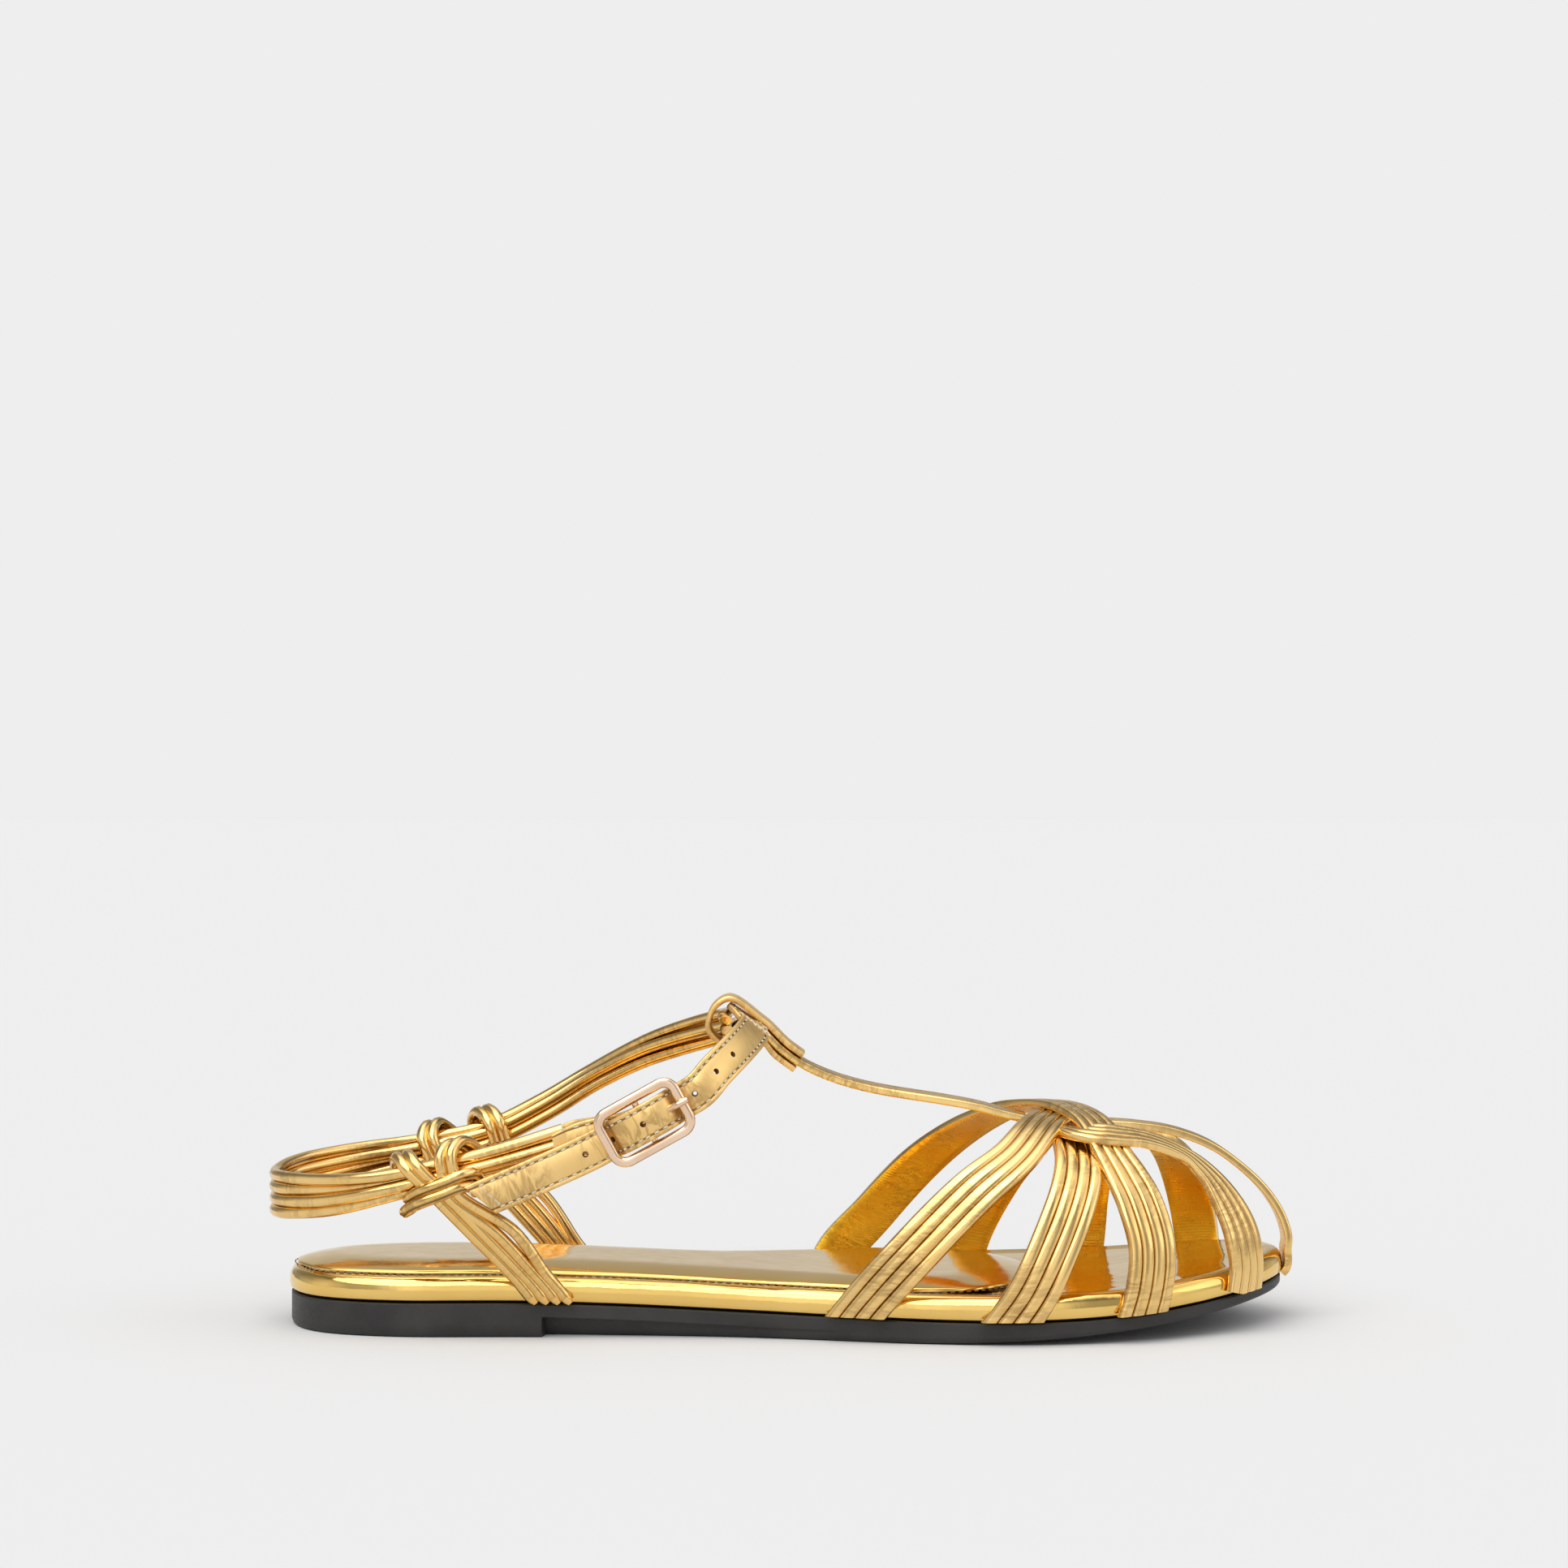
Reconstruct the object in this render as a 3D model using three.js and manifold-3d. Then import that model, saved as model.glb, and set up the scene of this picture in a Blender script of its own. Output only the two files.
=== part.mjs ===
// Flat strappy sandal for the right foot: a woven cage of ridged straps over the toes, an instep strap
// with a folded loop, and an ankle strap of four cords tied to the sole and closed by a small buckle.
// Millimetres. +X runs to the toe, +Y to the medial side and +Z up; the origin is on the floor under the heel.
import * as THREE from "three";
import { mergeVertices } from "three/addons/utils/BufferGeometryUtils.js";
import Module from "manifold-3d";

const wasm = await Module();
wasm.setup();

// Driving sizes
const LENGTH = 248; // footbed, heel to toe
const BALL_WIDTH = 86; // footbed across the ball
const HEEL_TO_ORIGIN = 32; // back of the footbed to the origin
const SEAT_HEIGHT = 8.2; // floor to the underside of the footbed at the heel
const TOE_SPRING = 8.8; // floor to the sole's underside at the toe
const SPRING_START = 0.6; // share of the length at which the sole leaves the floor
const FOOTBED_THICK = 6.4;
const FLANGE_THICK = 3.3; // full-width upper layer of the outsole
const HEEL_LENGTH = 65; // heel block, back to front
const SHANK_INSET = 4.5; // how far the outsole's lower layer steps in just ahead of the heel
const SHANK_END = 0.56; // share of the length at which that step has run out
const SOLE_INSET = 0.5; // outsole inside the footbed's outline
const TREAD_BEVEL = 1.2; // bevel round the outsole's lower edge
const PAD_THICK = 2.6;
const PAD_INSET = 4.4; // footbed's edge to the pad's seam
const PAD_END = 0.745; // share of the length at which the pad stops
const CROWN_HEIGHT = 49; // floor to the inside of the straps over the ball
const STRAP_WIDTH = 11.8;
const STRAP_THICK = 2.0; // at the crest of a rib
const GROOVE_DEPTH = 0.75; // between two ribs
const RIBS = 4;
const CORD = 3.0; // diameter of the ankle and side cords
const CORDS = 4;
const ANKLE_WIDTH = 60; // inside the ankle strap, side to side
const ANKLE_HEIGHT = 74; // floor to the ankle strap under the instep loop
const BAND_WIDTH = 9; // buckle strap
const BAND_THICK = 1.4;
const HOLE = 1.5; // diameter of a buckle hole
const HOLE_PITCH = 7.7;
const TAIL_HOLES = 3;
const FRONT_HOLES = 3;
const TAIL_LENGTH = 45.3; // buckle's middle bar to the strap's free end
const BUCKLE_LENGTH = 22.8; // along the strap, outside
const BUCKLE_ACROSS = 15.4;
const BUCKLE_WIRE = 2.5;
const BUCKLE_THICK = 1.6;
const BUCKLE_CORNER = 4.2;
const PRONG = 1.6; // diameter
const LOOP_WIDTH = 12;
const LOOP_THICK = 1.5;
const LOOP_TAIL = 11.5; // the folded loop's ends along the instep strap
const GAP = 0.3; // between pieces that meet
const DEGREE = Math.PI / 180;

// The last, in stations along the footbed. along is a share of LENGTH, lateral and medial are shares of
// BALL_WIDTH, seat is a share of SEAT_HEIGHT and crown is a share of CROWN_HEIGHT.
const LAST = [
  { along: 0.0, lateral: 0.0, medial: 0.0, seat: 1.0, crown: 1.08 },
  { along: 0.033, lateral: 0.235, medial: 0.235, seat: 1.0, crown: 1.08 },
  { along: 0.115, lateral: 0.331, medial: 0.331, seat: 1.0, crown: 1.08 },
  { along: 0.24, lateral: 0.338, medial: 0.302, seat: 1.0, crown: 1.08 },
  { along: 0.34, lateral: 0.343, medial: 0.276, seat: 0.92, crown: 1.08 },
  { along: 0.44, lateral: 0.355, medial: 0.295, seat: 0.79, crown: 1.07 },
  { along: 0.54, lateral: 0.4, medial: 0.382, seat: 0.7, crown: 1.05 },
  { along: 0.64, lateral: 0.462, medial: 0.472, seat: 0.65, crown: 1.03 },
  { along: 0.74, lateral: 0.485, medial: 0.512, seat: 0.66, crown: 1.0 },
  { along: 0.83, lateral: 0.442, medial: 0.492, seat: 0.775, crown: 0.945 },
  { along: 0.9, lateral: 0.355, medial: 0.437, seat: 0.99, crown: 0.87 },
  { along: 0.955, lateral: 0.222, medial: 0.345, seat: 1.19, crown: 0.72 },
  { along: 0.987, lateral: 0.095, medial: 0.22, seat: 1.34, crown: 0.555 },
  { along: 1.0, lateral: -0.05, medial: 0.05, seat: 1.42, crown: 0.37 },
];

// The cage's four crossing straps, medial foot to lateral foot or the other way. angle is in degrees round
// the last, from 0 at the lateral rim over 90 at the crown to 180 at the medial rim; outside that range the
// strap runs down the rim. lift is a share of STRAP_THICK and width a share of STRAP_WIDTH.
const CAGE = {
  medial_rear: [
    { along: 0.537, angle: 196, lift: 0, width: 1 },
    { along: 0.553, angle: 181, lift: 0, width: 1 },
    { along: 0.596, angle: 165, lift: 0, width: 1 },
    { along: 0.661, angle: 137, lift: 0, width: 1 },
    { along: 0.7, angle: 119, lift: 0.4, width: 0.95 },
    { along: 0.733, angle: 103, lift: 1.3, width: 0.88 },
    { along: 0.77, angle: 89, lift: 2.1, width: 0.82 },
    { along: 0.798, angle: 74, lift: 1.9, width: 0.8 },
    { along: 0.815, angle: 57, lift: 1.0, width: 0.85 },
    { along: 0.829, angle: 46, lift: 0.3, width: 0.95 },
    { along: 0.842, angle: 33, lift: 0, width: 1 },
    { along: 0.851, angle: 16, lift: 0, width: 1 },
    { along: 0.848, angle: 0, lift: 0, width: 1 },
    { along: 0.836, angle: -16, lift: 0, width: 1 },
  ],
  medial_middle: [
    { along: 0.676, angle: 196, lift: 0, width: 1 },
    { along: 0.688, angle: 180, lift: 0, width: 1 },
    { along: 0.702, angle: 168, lift: 0, width: 1 },
    { along: 0.726, angle: 152, lift: 0, width: 1 },
    { along: 0.752, angle: 135, lift: 0, width: 0.95 },
    { along: 0.767, angle: 117, lift: 0, width: 0.85 },
    { along: 0.768, angle: 95, lift: 0, width: 0.8 },
    { along: 0.776, angle: 72, lift: 0.6, width: 0.78 },
    { along: 0.8, angle: 63, lift: 1.8, width: 0.72 },
    { along: 0.845, angle: 63, lift: 1.8, width: 0.54 },
    { along: 0.882, angle: 60, lift: 1.2, width: 0.42 },
    { along: 0.904, angle: 55, lift: 0.6, width: 0.6 },
    { along: 0.925, angle: 44, lift: 0.1, width: 0.85 },
    { along: 0.943, angle: 23, lift: 0, width: 1 },
    { along: 0.949, angle: 2, lift: 0, width: 1 },
    { along: 0.946, angle: -16, lift: 0, width: 1 },
  ],
  lateral_rear: [
    { along: 0.547, angle: -16, lift: 0, width: 1 },
    { along: 0.585, angle: 0, lift: 0, width: 1 },
    { along: 0.633, angle: 18, lift: 0, width: 1 },
    { along: 0.68, angle: 36, lift: 0, width: 1 },
    { along: 0.722, angle: 52, lift: 0.3, width: 0.95 },
    { along: 0.75, angle: 70, lift: 1.1, width: 0.88 },
    { along: 0.775, angle: 89, lift: 1.05, width: 0.82 },
    { along: 0.797, angle: 107, lift: 1.0, width: 0.8 },
    { along: 0.811, angle: 124, lift: 0.5, width: 0.9 },
    { along: 0.817, angle: 145, lift: 0, width: 1 },
    { along: 0.815, angle: 165, lift: 0, width: 1 },
    { along: 0.812, angle: 180, lift: 0, width: 1 },
    { along: 0.807, angle: 196, lift: 0, width: 1 },
  ],
  lateral_middle: [
    { along: 0.698, angle: -16, lift: 0, width: 1 },
    { along: 0.733, angle: 0, lift: 0, width: 1 },
    { along: 0.758, angle: 18, lift: 0, width: 1 },
    { along: 0.774, angle: 33, lift: 0, width: 1 },
    { along: 0.782, angle: 46, lift: 0, width: 0.97 },
    { along: 0.783, angle: 60, lift: 0, width: 0.9 },
    { along: 0.777, angle: 76, lift: 0, width: 0.85 },
    { along: 0.772, angle: 95, lift: 0, width: 0.8 },
    { along: 0.782, angle: 107, lift: 0.2, width: 0.78 },
    { along: 0.805, angle: 112, lift: 0.4, width: 0.78 },
    { along: 0.843, angle: 112, lift: 0.5, width: 0.78 },
    { along: 0.876, angle: 115, lift: 0.5, width: 0.85 },
    { along: 0.898, angle: 126, lift: 0.2, width: 0.95 },
    { along: 0.915, angle: 145, lift: 0, width: 1 },
    { along: 0.925, angle: 165, lift: 0, width: 1 },
    { along: 0.929, angle: 180, lift: 0, width: 1 },
    { along: 0.931, angle: 196, lift: 0, width: 1 },
  ],
};

// The toe strap runs forward over the crown and down in front of the toe: past an along of 1 it drops
// straight down, by the same share of the footbed's thickness as drop says.
const TOE_STRAP = [
  { along: 0.79, lift: 0.4, width: 0.75 },
  { along: 0.82, lift: 0.5, width: 0.72 },
  { along: 0.85, lift: 0.8, width: 0.72 },
  { along: 0.885, lift: 1.0, width: 0.72 },
  { along: 0.92, lift: 1.0, width: 0.74 },
  { along: 0.95, lift: 0.7, width: 0.78 },
  { along: 0.975, lift: 0.5, width: 0.8 },
  { along: 0.992, lift: 0.3, width: 0.8 },
  { along: 1.0, lift: 0.15, width: 0.8 },
];

// The instep strap, knot to loop. along is a share of LENGTH and rise a share of the way from the crown
// over the ball up to the ankle strap.
const INSTEP = [
  { along: 0.738, rise: 0.02 },
  { along: 0.72, rise: 0.06 },
  { along: 0.69, rise: 0.14 },
  { along: 0.645, rise: 0.22 },
  { along: 0.6, rise: 0.29 },
  { along: 0.56, rise: 0.38 },
  { along: 0.525, rise: 0.51 },
  { along: 0.498, rise: 0.67 },
  { along: 0.475, rise: 0.89 },
];

// The ankle cords' route, from the instep loop round the medial side, the heel and the lateral side to the
// buckle's tab. along is a share of LENGTH, across a share of ANKLE_WIDTH and height a share of ANKLE_HEIGHT.
// fan is 1 where the cords lie in one flat row and less where they bunch up, and roll is the row's lean in degrees.
const ANKLE = [
  { along: 0.36, across: 0.38, height: 0.89, fan: 0.55, roll: -20 },
  { along: 0.302, across: 0.47, height: 0.79, fan: 0.5, roll: 0 },
  { along: 0.248, across: 0.5, height: 0.68, fan: 0.5, roll: 0 },
  { along: 0.19, across: 0.5, height: 0.585, fan: 0.5, roll: 0 },
  { along: 0.121, across: 0.475, height: 0.53, fan: 0.6, roll: 0 },
  { along: 0.05, across: 0.37, height: 0.49, fan: 0.85, roll: 0 },
  { along: 0.0, across: 0.19, height: 0.46, fan: 1, roll: 0 },
  { along: -0.015, across: 0.0, height: 0.44, fan: 1, roll: 0 },
  { along: 0.0, across: -0.2, height: 0.44, fan: 1, roll: 0 },
  { along: 0.05, across: -0.36, height: 0.455, fan: 0.85, roll: 0 },
  { along: 0.105, across: -0.455, height: 0.49, fan: 0.6, roll: 0 },
  { along: 0.165, across: -0.49, height: 0.54, fan: 0.5, roll: 0 },
  { along: 0.225, across: -0.505, height: 0.592, fan: 0.5, roll: 0 },
  { along: 0.285, across: -0.505, height: 0.652, fan: 0.55, roll: 0 },
];

// Where the side cords tie on to the ankle cords, as a place among the route's rows, and where their feet
// stand on the rim, as a share of LENGTH.
const TIES = {
  medial: { side: 1, knot: 6.3, foot: 0.29 },
  lateral: { side: -1, knot: 14, foot: 0.275 },
};
const TIE_LEAN = 0.85; // run back for each millimetre up, below the knot
const TIE_BOW = 1.5; // the front cords bow forward by this much more, one after another
// A side cord's way round the ankle cords. lean is a share of KNOT_HALF_LENGTH towards the toe; out and up are
// shares of the bundle's half thickness and half height with a cord laid on it.
const KNOT_HALF_LENGTH = 9;
const KNOT_BACK = [
  { lean: -0.08, out: 1.05, up: -0.95 },
  { lean: -0.35, out: 1.05, up: -0.25 },
  { lean: -0.7, out: 1.0, up: 0.65 },
  { lean: -0.95, out: 0.15, up: 1.12 },
  { lean: -1.15, out: -0.9, up: 0.65 },
  { lean: -1.05, out: -1.05, up: -0.35 },
];
const KNOT_FRONT = [
  { lean: 0.22, out: 1.05, up: -0.95 },
  { lean: 0.25, out: 1.05, up: -0.1 },
  { lean: 0.3, out: 1.0, up: 0.75 },
  { lean: 0.55, out: 0.1, up: 1.15 },
  { lean: 0.8, out: -0.95, up: 0.6 },
  { lean: 0.85, out: -1.05, up: -0.35 },
];
const KNOT_WRAP = [
  { lean: -0.7, out: -0.95, up: -0.5 },
  { lean: -1.05, out: -0.45, up: -1.05 },
  { lean: -1.15, out: 0.5, up: -1.12 },
  { lean: -0.75, out: 1.3, up: -0.9 },
  { lean: 0.05, out: 1.5, up: -0.72 },
  { lean: 0.5, out: 1.25, up: -0.62 },
  { lean: 0.8, out: 0.6, up: -0.72 },
  { lean: 0.75, out: -0.3, up: -1.05 },
  { lean: 0.5, out: -0.95, up: -0.6 },
];
const WRAPS = [
  { lean: 0.12, up: 0.38 },
  { lean: -0.05, up: -0.12 },
];
const BUCKLE_AT = { along: 0.3625, across: -0.632, height: 0.715 };
const BUCKLE_TILT = 29; // degrees the strap climbs towards the toe at the buckle

// A smooth line through one column of a table. It passes each row with the mean slope of its neighbours.
function column(rows, key, position) {
  const xs = rows.map(position);
  const ys = rows.map((row) => row[key]);
  const slope = (i) => {
    const a = Math.max(0, i - 1);
    const b = Math.min(xs.length - 1, i + 1);
    return (ys[b] - ys[a]) / (xs[b] - xs[a]);
  };
  return (x) => {
    let i = 0;
    while (i < xs.length - 2 && x > xs[i + 1]) i += 1;
    const step = xs[i + 1] - xs[i];
    const t = THREE.MathUtils.clamp((x - xs[i]) / step, 0, 1);
    const t2 = t * t;
    const t3 = t2 * t;
    return (
      ys[i] * (2 * t3 - 3 * t2 + 1) +
      slope(i) * step * (t3 - 2 * t2 + t) +
      ys[i + 1] * (3 * t2 - 2 * t3) +
      slope(i + 1) * step * (t3 - t2)
    );
  };
}

// Distance along the footbed as a turn from 0 at the heel to 1 at the toe, so that the outline's ends are round.
const turnAt = (along) => Math.acos(1 - 2 * THREE.MathUtils.clamp(along, 0, 1)) / Math.PI;
const alongAt = (turn) => (1 - Math.cos(Math.PI * turn)) / 2;
const lastColumn = (key) => column(LAST, key, (row) => turnAt(row.along));
const lateralAt = lastColumn("lateral");
const medialAt = lastColumn("medial");
const seatAt = lastColumn("seat");
const crownAt = lastColumn("crown");

const xAt = (along) => along * LENGTH - HEEL_TO_ORIGIN;
const lateralEdge = (turn) => -lateralAt(turn) * BALL_WIDTH;
const medialEdge = (turn) => medialAt(turn) * BALL_WIDTH;
const seatHeight = (turn) => seatAt(turn) * SEAT_HEIGHT;
const rimHeight = (turn) => seatHeight(turn) + FOOTBED_THICK;
const crownHeight = (turn) => Math.max(crownAt(turn) * CROWN_HEIGHT, rimHeight(turn));
function treadHeight(along) {
  const share = Math.max(0, (along - SPRING_START) / (1 - SPRING_START));
  return TOE_SPRING * share * share;
}

// A closed geometry from rings of points with the same count, and the triangles that close its first ring.
function loft(rings, cap) {
  const count = rings[0].length;
  const index = [];
  for (let r = 0; r < rings.length - 1; r += 1) {
    for (let i = 0; i < count; i += 1) {
      const a = r * count + i;
      const b = r * count + ((i + 1) % count);
      index.push(a, b, b + count, a, b + count, a + count);
    }
  }
  const last = (rings.length - 1) * count;
  for (const [a, b, c] of cap) {
    index.push(a, c, b, last + a, last + b, last + c);
  }
  const points = rings.flat();
  let volume = 0;
  for (let i = 0; i < index.length; i += 3) {
    const [a, b, c] = [points[index[i]], points[index[i + 1]], points[index[i + 2]]];
    volume += a.dot(b.clone().cross(c));
  }
  if (volume < 0) index.reverse();
  const geometry = new THREE.BufferGeometry().setFromPoints(points);
  geometry.setIndex(index);
  return geometry;
}

// Triangles across a section, turned the same way round as the section itself.
function profileCap(profile) {
  const faces = THREE.ShapeUtils.triangulateShape(profile, []);
  const [a, b, c] = faces[0].map((i) => profile[i]);
  const clockwise = THREE.ShapeUtils.isClockWise([a, b, c]);
  return clockwise === THREE.ShapeUtils.isClockWise(profile) ? faces : faces.map((face) => face.toReversed());
}

// Exact solids for joining and cutting
function toSolid(geometry) {
  const bare = geometry.clone();
  for (const name of ["normal", "uv"]) bare.deleteAttribute(name);
  const merged = mergeVertices(bare, 1e-4);
  return new wasm.Manifold(
    new wasm.Mesh({
      numProp: 3,
      vertProperties: merged.attributes.position.array,
      triVerts: new Uint32Array(merged.index.array),
    }),
  );
}

function toGeometry(solid) {
  const mesh = solid.getMesh();
  const geometry = new THREE.BufferGeometry();
  geometry.setAttribute("position", new THREE.BufferAttribute(mesh.vertProperties, 3));
  geometry.setIndex(new THREE.BufferAttribute(mesh.triVerts, 1));
  return geometry;
}

const joined = (geometries) => geometries.map(toSolid).reduce((whole, next) => whole.add(next));

// Sole, footbed and pad: rings that follow the footbed's outline
const OUTLINE_STEPS = 25;

// The outline's turns, with two close together at the front of the heel block.
function outlineTurns(first, last, extra = []) {
  const turns = [];
  for (let i = 0; i <= OUTLINE_STEPS; i += 1) turns.push(first + ((last - first) * i) / OUTLINE_STEPS);
  const clear = turns.filter((turn) => extra.every((other) => Math.abs(turn - other) > 0.25 / OUTLINE_STEPS));
  return [...clear, ...extra].sort((a, b) => a - b);
}

// The point of the outline at a turn on one side, moved in by inset square to the outline.
function outlinePoint(turn, side, inset) {
  const edge = side < 0 ? lateralEdge : medialEdge;
  const step = 1e-3;
  const low = Math.max(0, turn - step);
  const high = Math.min(1, turn + step);
  const dx = xAt(alongAt(high)) - xAt(alongAt(low));
  const dy = edge(high) - edge(low);
  const size = Math.hypot(dx, dy);
  const x = xAt(alongAt(turn)) + (inset * side * dy) / size;
  return new THREE.Vector2(x, edge(turn) - (inset * side * dx) / size);
}

// One ring round the outline: the heel's tip, the lateral side, the toe's tip and the medial side.
function outlineRing(turns, insetAt, heightAt) {
  const place = (turn, side) => {
    const flat = outlinePoint(turn, side, insetAt(turn));
    return new THREE.Vector3(flat.x, flat.y, heightAt(turn));
  };
  const tip = (turn) => place(turn, -1).add(place(turn, 1)).multiplyScalar(0.5);
  const inner = turns.slice(1, -1);
  return [
    tip(turns[0]),
    ...inner.map((turn) => place(turn, -1)),
    tip(turns.at(-1)),
    ...inner.toReversed().map((turn) => place(turn, 1)),
  ];
}

// Triangles across a ring of outlineRing, from each lateral point to the medial one opposite.
function outlineCap(count) {
  const half = count / 2;
  const cap = [[0, 1, count - 1]];
  for (let i = 1; i < half - 1; i += 1) {
    cap.push([i, i + 1, count - i - 1], [i, count - i - 1, count - i]);
  }
  cap.push([half - 1, half, half + 1]);
  return cap;
}

function outsole() {
  const breast = turnAt(HEEL_LENGTH / LENGTH);
  const turns = outlineTurns(0, 1, [breast - 0.001, breast + 0.001]);
  const shankEnd = turnAt(SHANK_END);
  const insetAt = (turn) => {
    if (turn < breast || turn > shankEnd) return SOLE_INSET;
    return SOLE_INSET + (SHANK_INSET * (shankEnd - turn)) / (shankEnd - breast);
  };
  const flangeUnder = (turn) => {
    const tread = treadHeight(alongAt(turn));
    return Math.max(seatHeight(turn) - FLANGE_THICK, tread + 0.45 * (seatHeight(turn) - tread));
  };
  const floorAt = (turn) => treadHeight(alongAt(turn));
  const bevel = (turn) => floorAt(turn) + Math.min(TREAD_BEVEL, 0.3 * (seatHeight(turn) - floorAt(turn)));
  const rings = [
    outlineRing(turns, () => SOLE_INSET, seatHeight),
    outlineRing(turns, () => SOLE_INSET, flangeUnder),
    outlineRing(turns, insetAt, (turn) => flangeUnder(turn) - 0.02),
    outlineRing(turns, insetAt, bevel),
    outlineRing(turns, (turn) => insetAt(turn) + TREAD_BEVEL, floorAt),
  ];
  return loft(rings, outlineCap(rings[0].length));
}

// The wrapped footbed's edge, bottom to top: inset from the outline and share of the thickness.
const RIM = [
  { inset: 1.0, up: 0 },
  { inset: 0.15, up: 0.18 },
  { inset: 0, up: 0.45 },
  { inset: 0.3, up: 0.72 },
  { inset: 1.2, up: 0.92 },
  { inset: 2.8, up: 1 },
];

function footbed() {
  const turns = outlineTurns(0, 1);
  const rings = RIM.map(({ inset, up }) => {
    const height = (turn) => seatHeight(turn) + GAP + up * (FOOTBED_THICK - GAP);
    return outlineRing(turns, () => inset, height);
  });
  return loft(rings, outlineCap(rings[0].length));
}

// The pad's edge, bottom to top: inset from its own seam and share of its thickness.
const PAD_EDGE = [
  { inset: 0, up: 0 },
  { inset: 0.1, up: 0.25 },
  { inset: 3, up: 0.62 },
  { inset: 9, up: 1 },
];

function insolePad() {
  const first = 0.055;
  const last = turnAt(PAD_END);
  const turns = outlineTurns(first, last, [first + 0.005, last - 0.014, last - 0.004]);
  const rings = PAD_EDGE.map(({ inset, up }) => {
    // The ends are rounded off by drawing the last few stations in along a quarter circle.
    const corner = 0.09;
    const pinch = (turn) => {
      const near = Math.min(turn - first, last - turn) / corner;
      return near >= 1 ? 0 : 1 - Math.sqrt(1 - (1 - near) ** 2);
    };
    const ring = outlineRing(
      turns,
      () => PAD_INSET + inset,
      (turn) => rimHeight(turn) + GAP + up * (PAD_THICK - GAP),
    );
    const middle = (turn) => (lateralEdge(turn) + medialEdge(turn)) / 2;
    const order = [...turns, ...turns.slice(1, -1).toReversed()];
    const room = xAt(alongAt(last)) - xAt(alongAt(first));
    ring.forEach((point, i) => {
      const turn = order[i];
      point.y = THREE.MathUtils.lerp(point.y, middle(turn), pinch(turn));
      const centre = (xAt(alongAt(last)) + xAt(alongAt(first))) / 2;
      point.x = centre + (xAt(alongAt(turn)) - centre) * (1 - (2 * inset) / room);
    });
    return ring;
  });
  return loft(rings, outlineCap(rings[0].length));
}

// The last's surface over the toes. angle is as in CAGE.
const SHOULDER = 0.09; // how far the section stands out of an ellipse at 45 degrees
function lastPoint(turn, angle) {
  const middle = (lateralEdge(turn) + medialEdge(turn)) / 2;
  const half = (medialEdge(turn) - lateralEdge(turn)) / 2;
  const rim = rimHeight(turn);
  const x = xAt(alongAt(turn));
  const fall = (crownHeight(turn) - rim) * (1 + SHOULDER) * DEGREE;
  if (angle < 0) return new THREE.Vector3(x, middle - half, rim + angle * fall);
  if (angle > 180) return new THREE.Vector3(x, middle + half, rim + (180 - angle) * fall);
  const sin = Math.sin(angle * DEGREE);
  const cos = Math.cos(angle * DEGREE);
  const y = middle - half * cos * (1 + SHOULDER * sin * sin);
  const z = rim + (crownHeight(turn) - rim) * sin * (1 + SHOULDER * cos * cos);
  return new THREE.Vector3(x, y, z);
}

function lastFrame(turn, angle) {
  const step = 1e-3;
  const point = lastPoint(turn, angle);
  const byTurn = lastPoint(turn + step, angle).sub(lastPoint(turn - step, angle)).divideScalar(2 * step);
  const byAngle = lastPoint(turn, angle + 0.5).sub(lastPoint(turn, angle - 0.5));
  const normal = byTurn.clone().cross(byAngle).normalize();
  return { point, byTurn, byAngle, normal };
}

// The ribbed strap's section: flat inside, RIBS rounded ribs outside. x is a share of the width.
function ribbedProfile() {
  const outside = [];
  for (let i = 0; i <= 2 * RIBS; i += 1) {
    const edge = i === 0 || i === 2 * RIBS;
    const groove = edge ? 0.5 * STRAP_THICK : STRAP_THICK - GROOVE_DEPTH;
    outside.push(new THREE.Vector2(i / (2 * RIBS) - 0.5, i % 2 ? STRAP_THICK : groove));
  }
  return [new THREE.Vector2(0.5, 0), new THREE.Vector2(-0.5, 0), ...outside];
}

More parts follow.
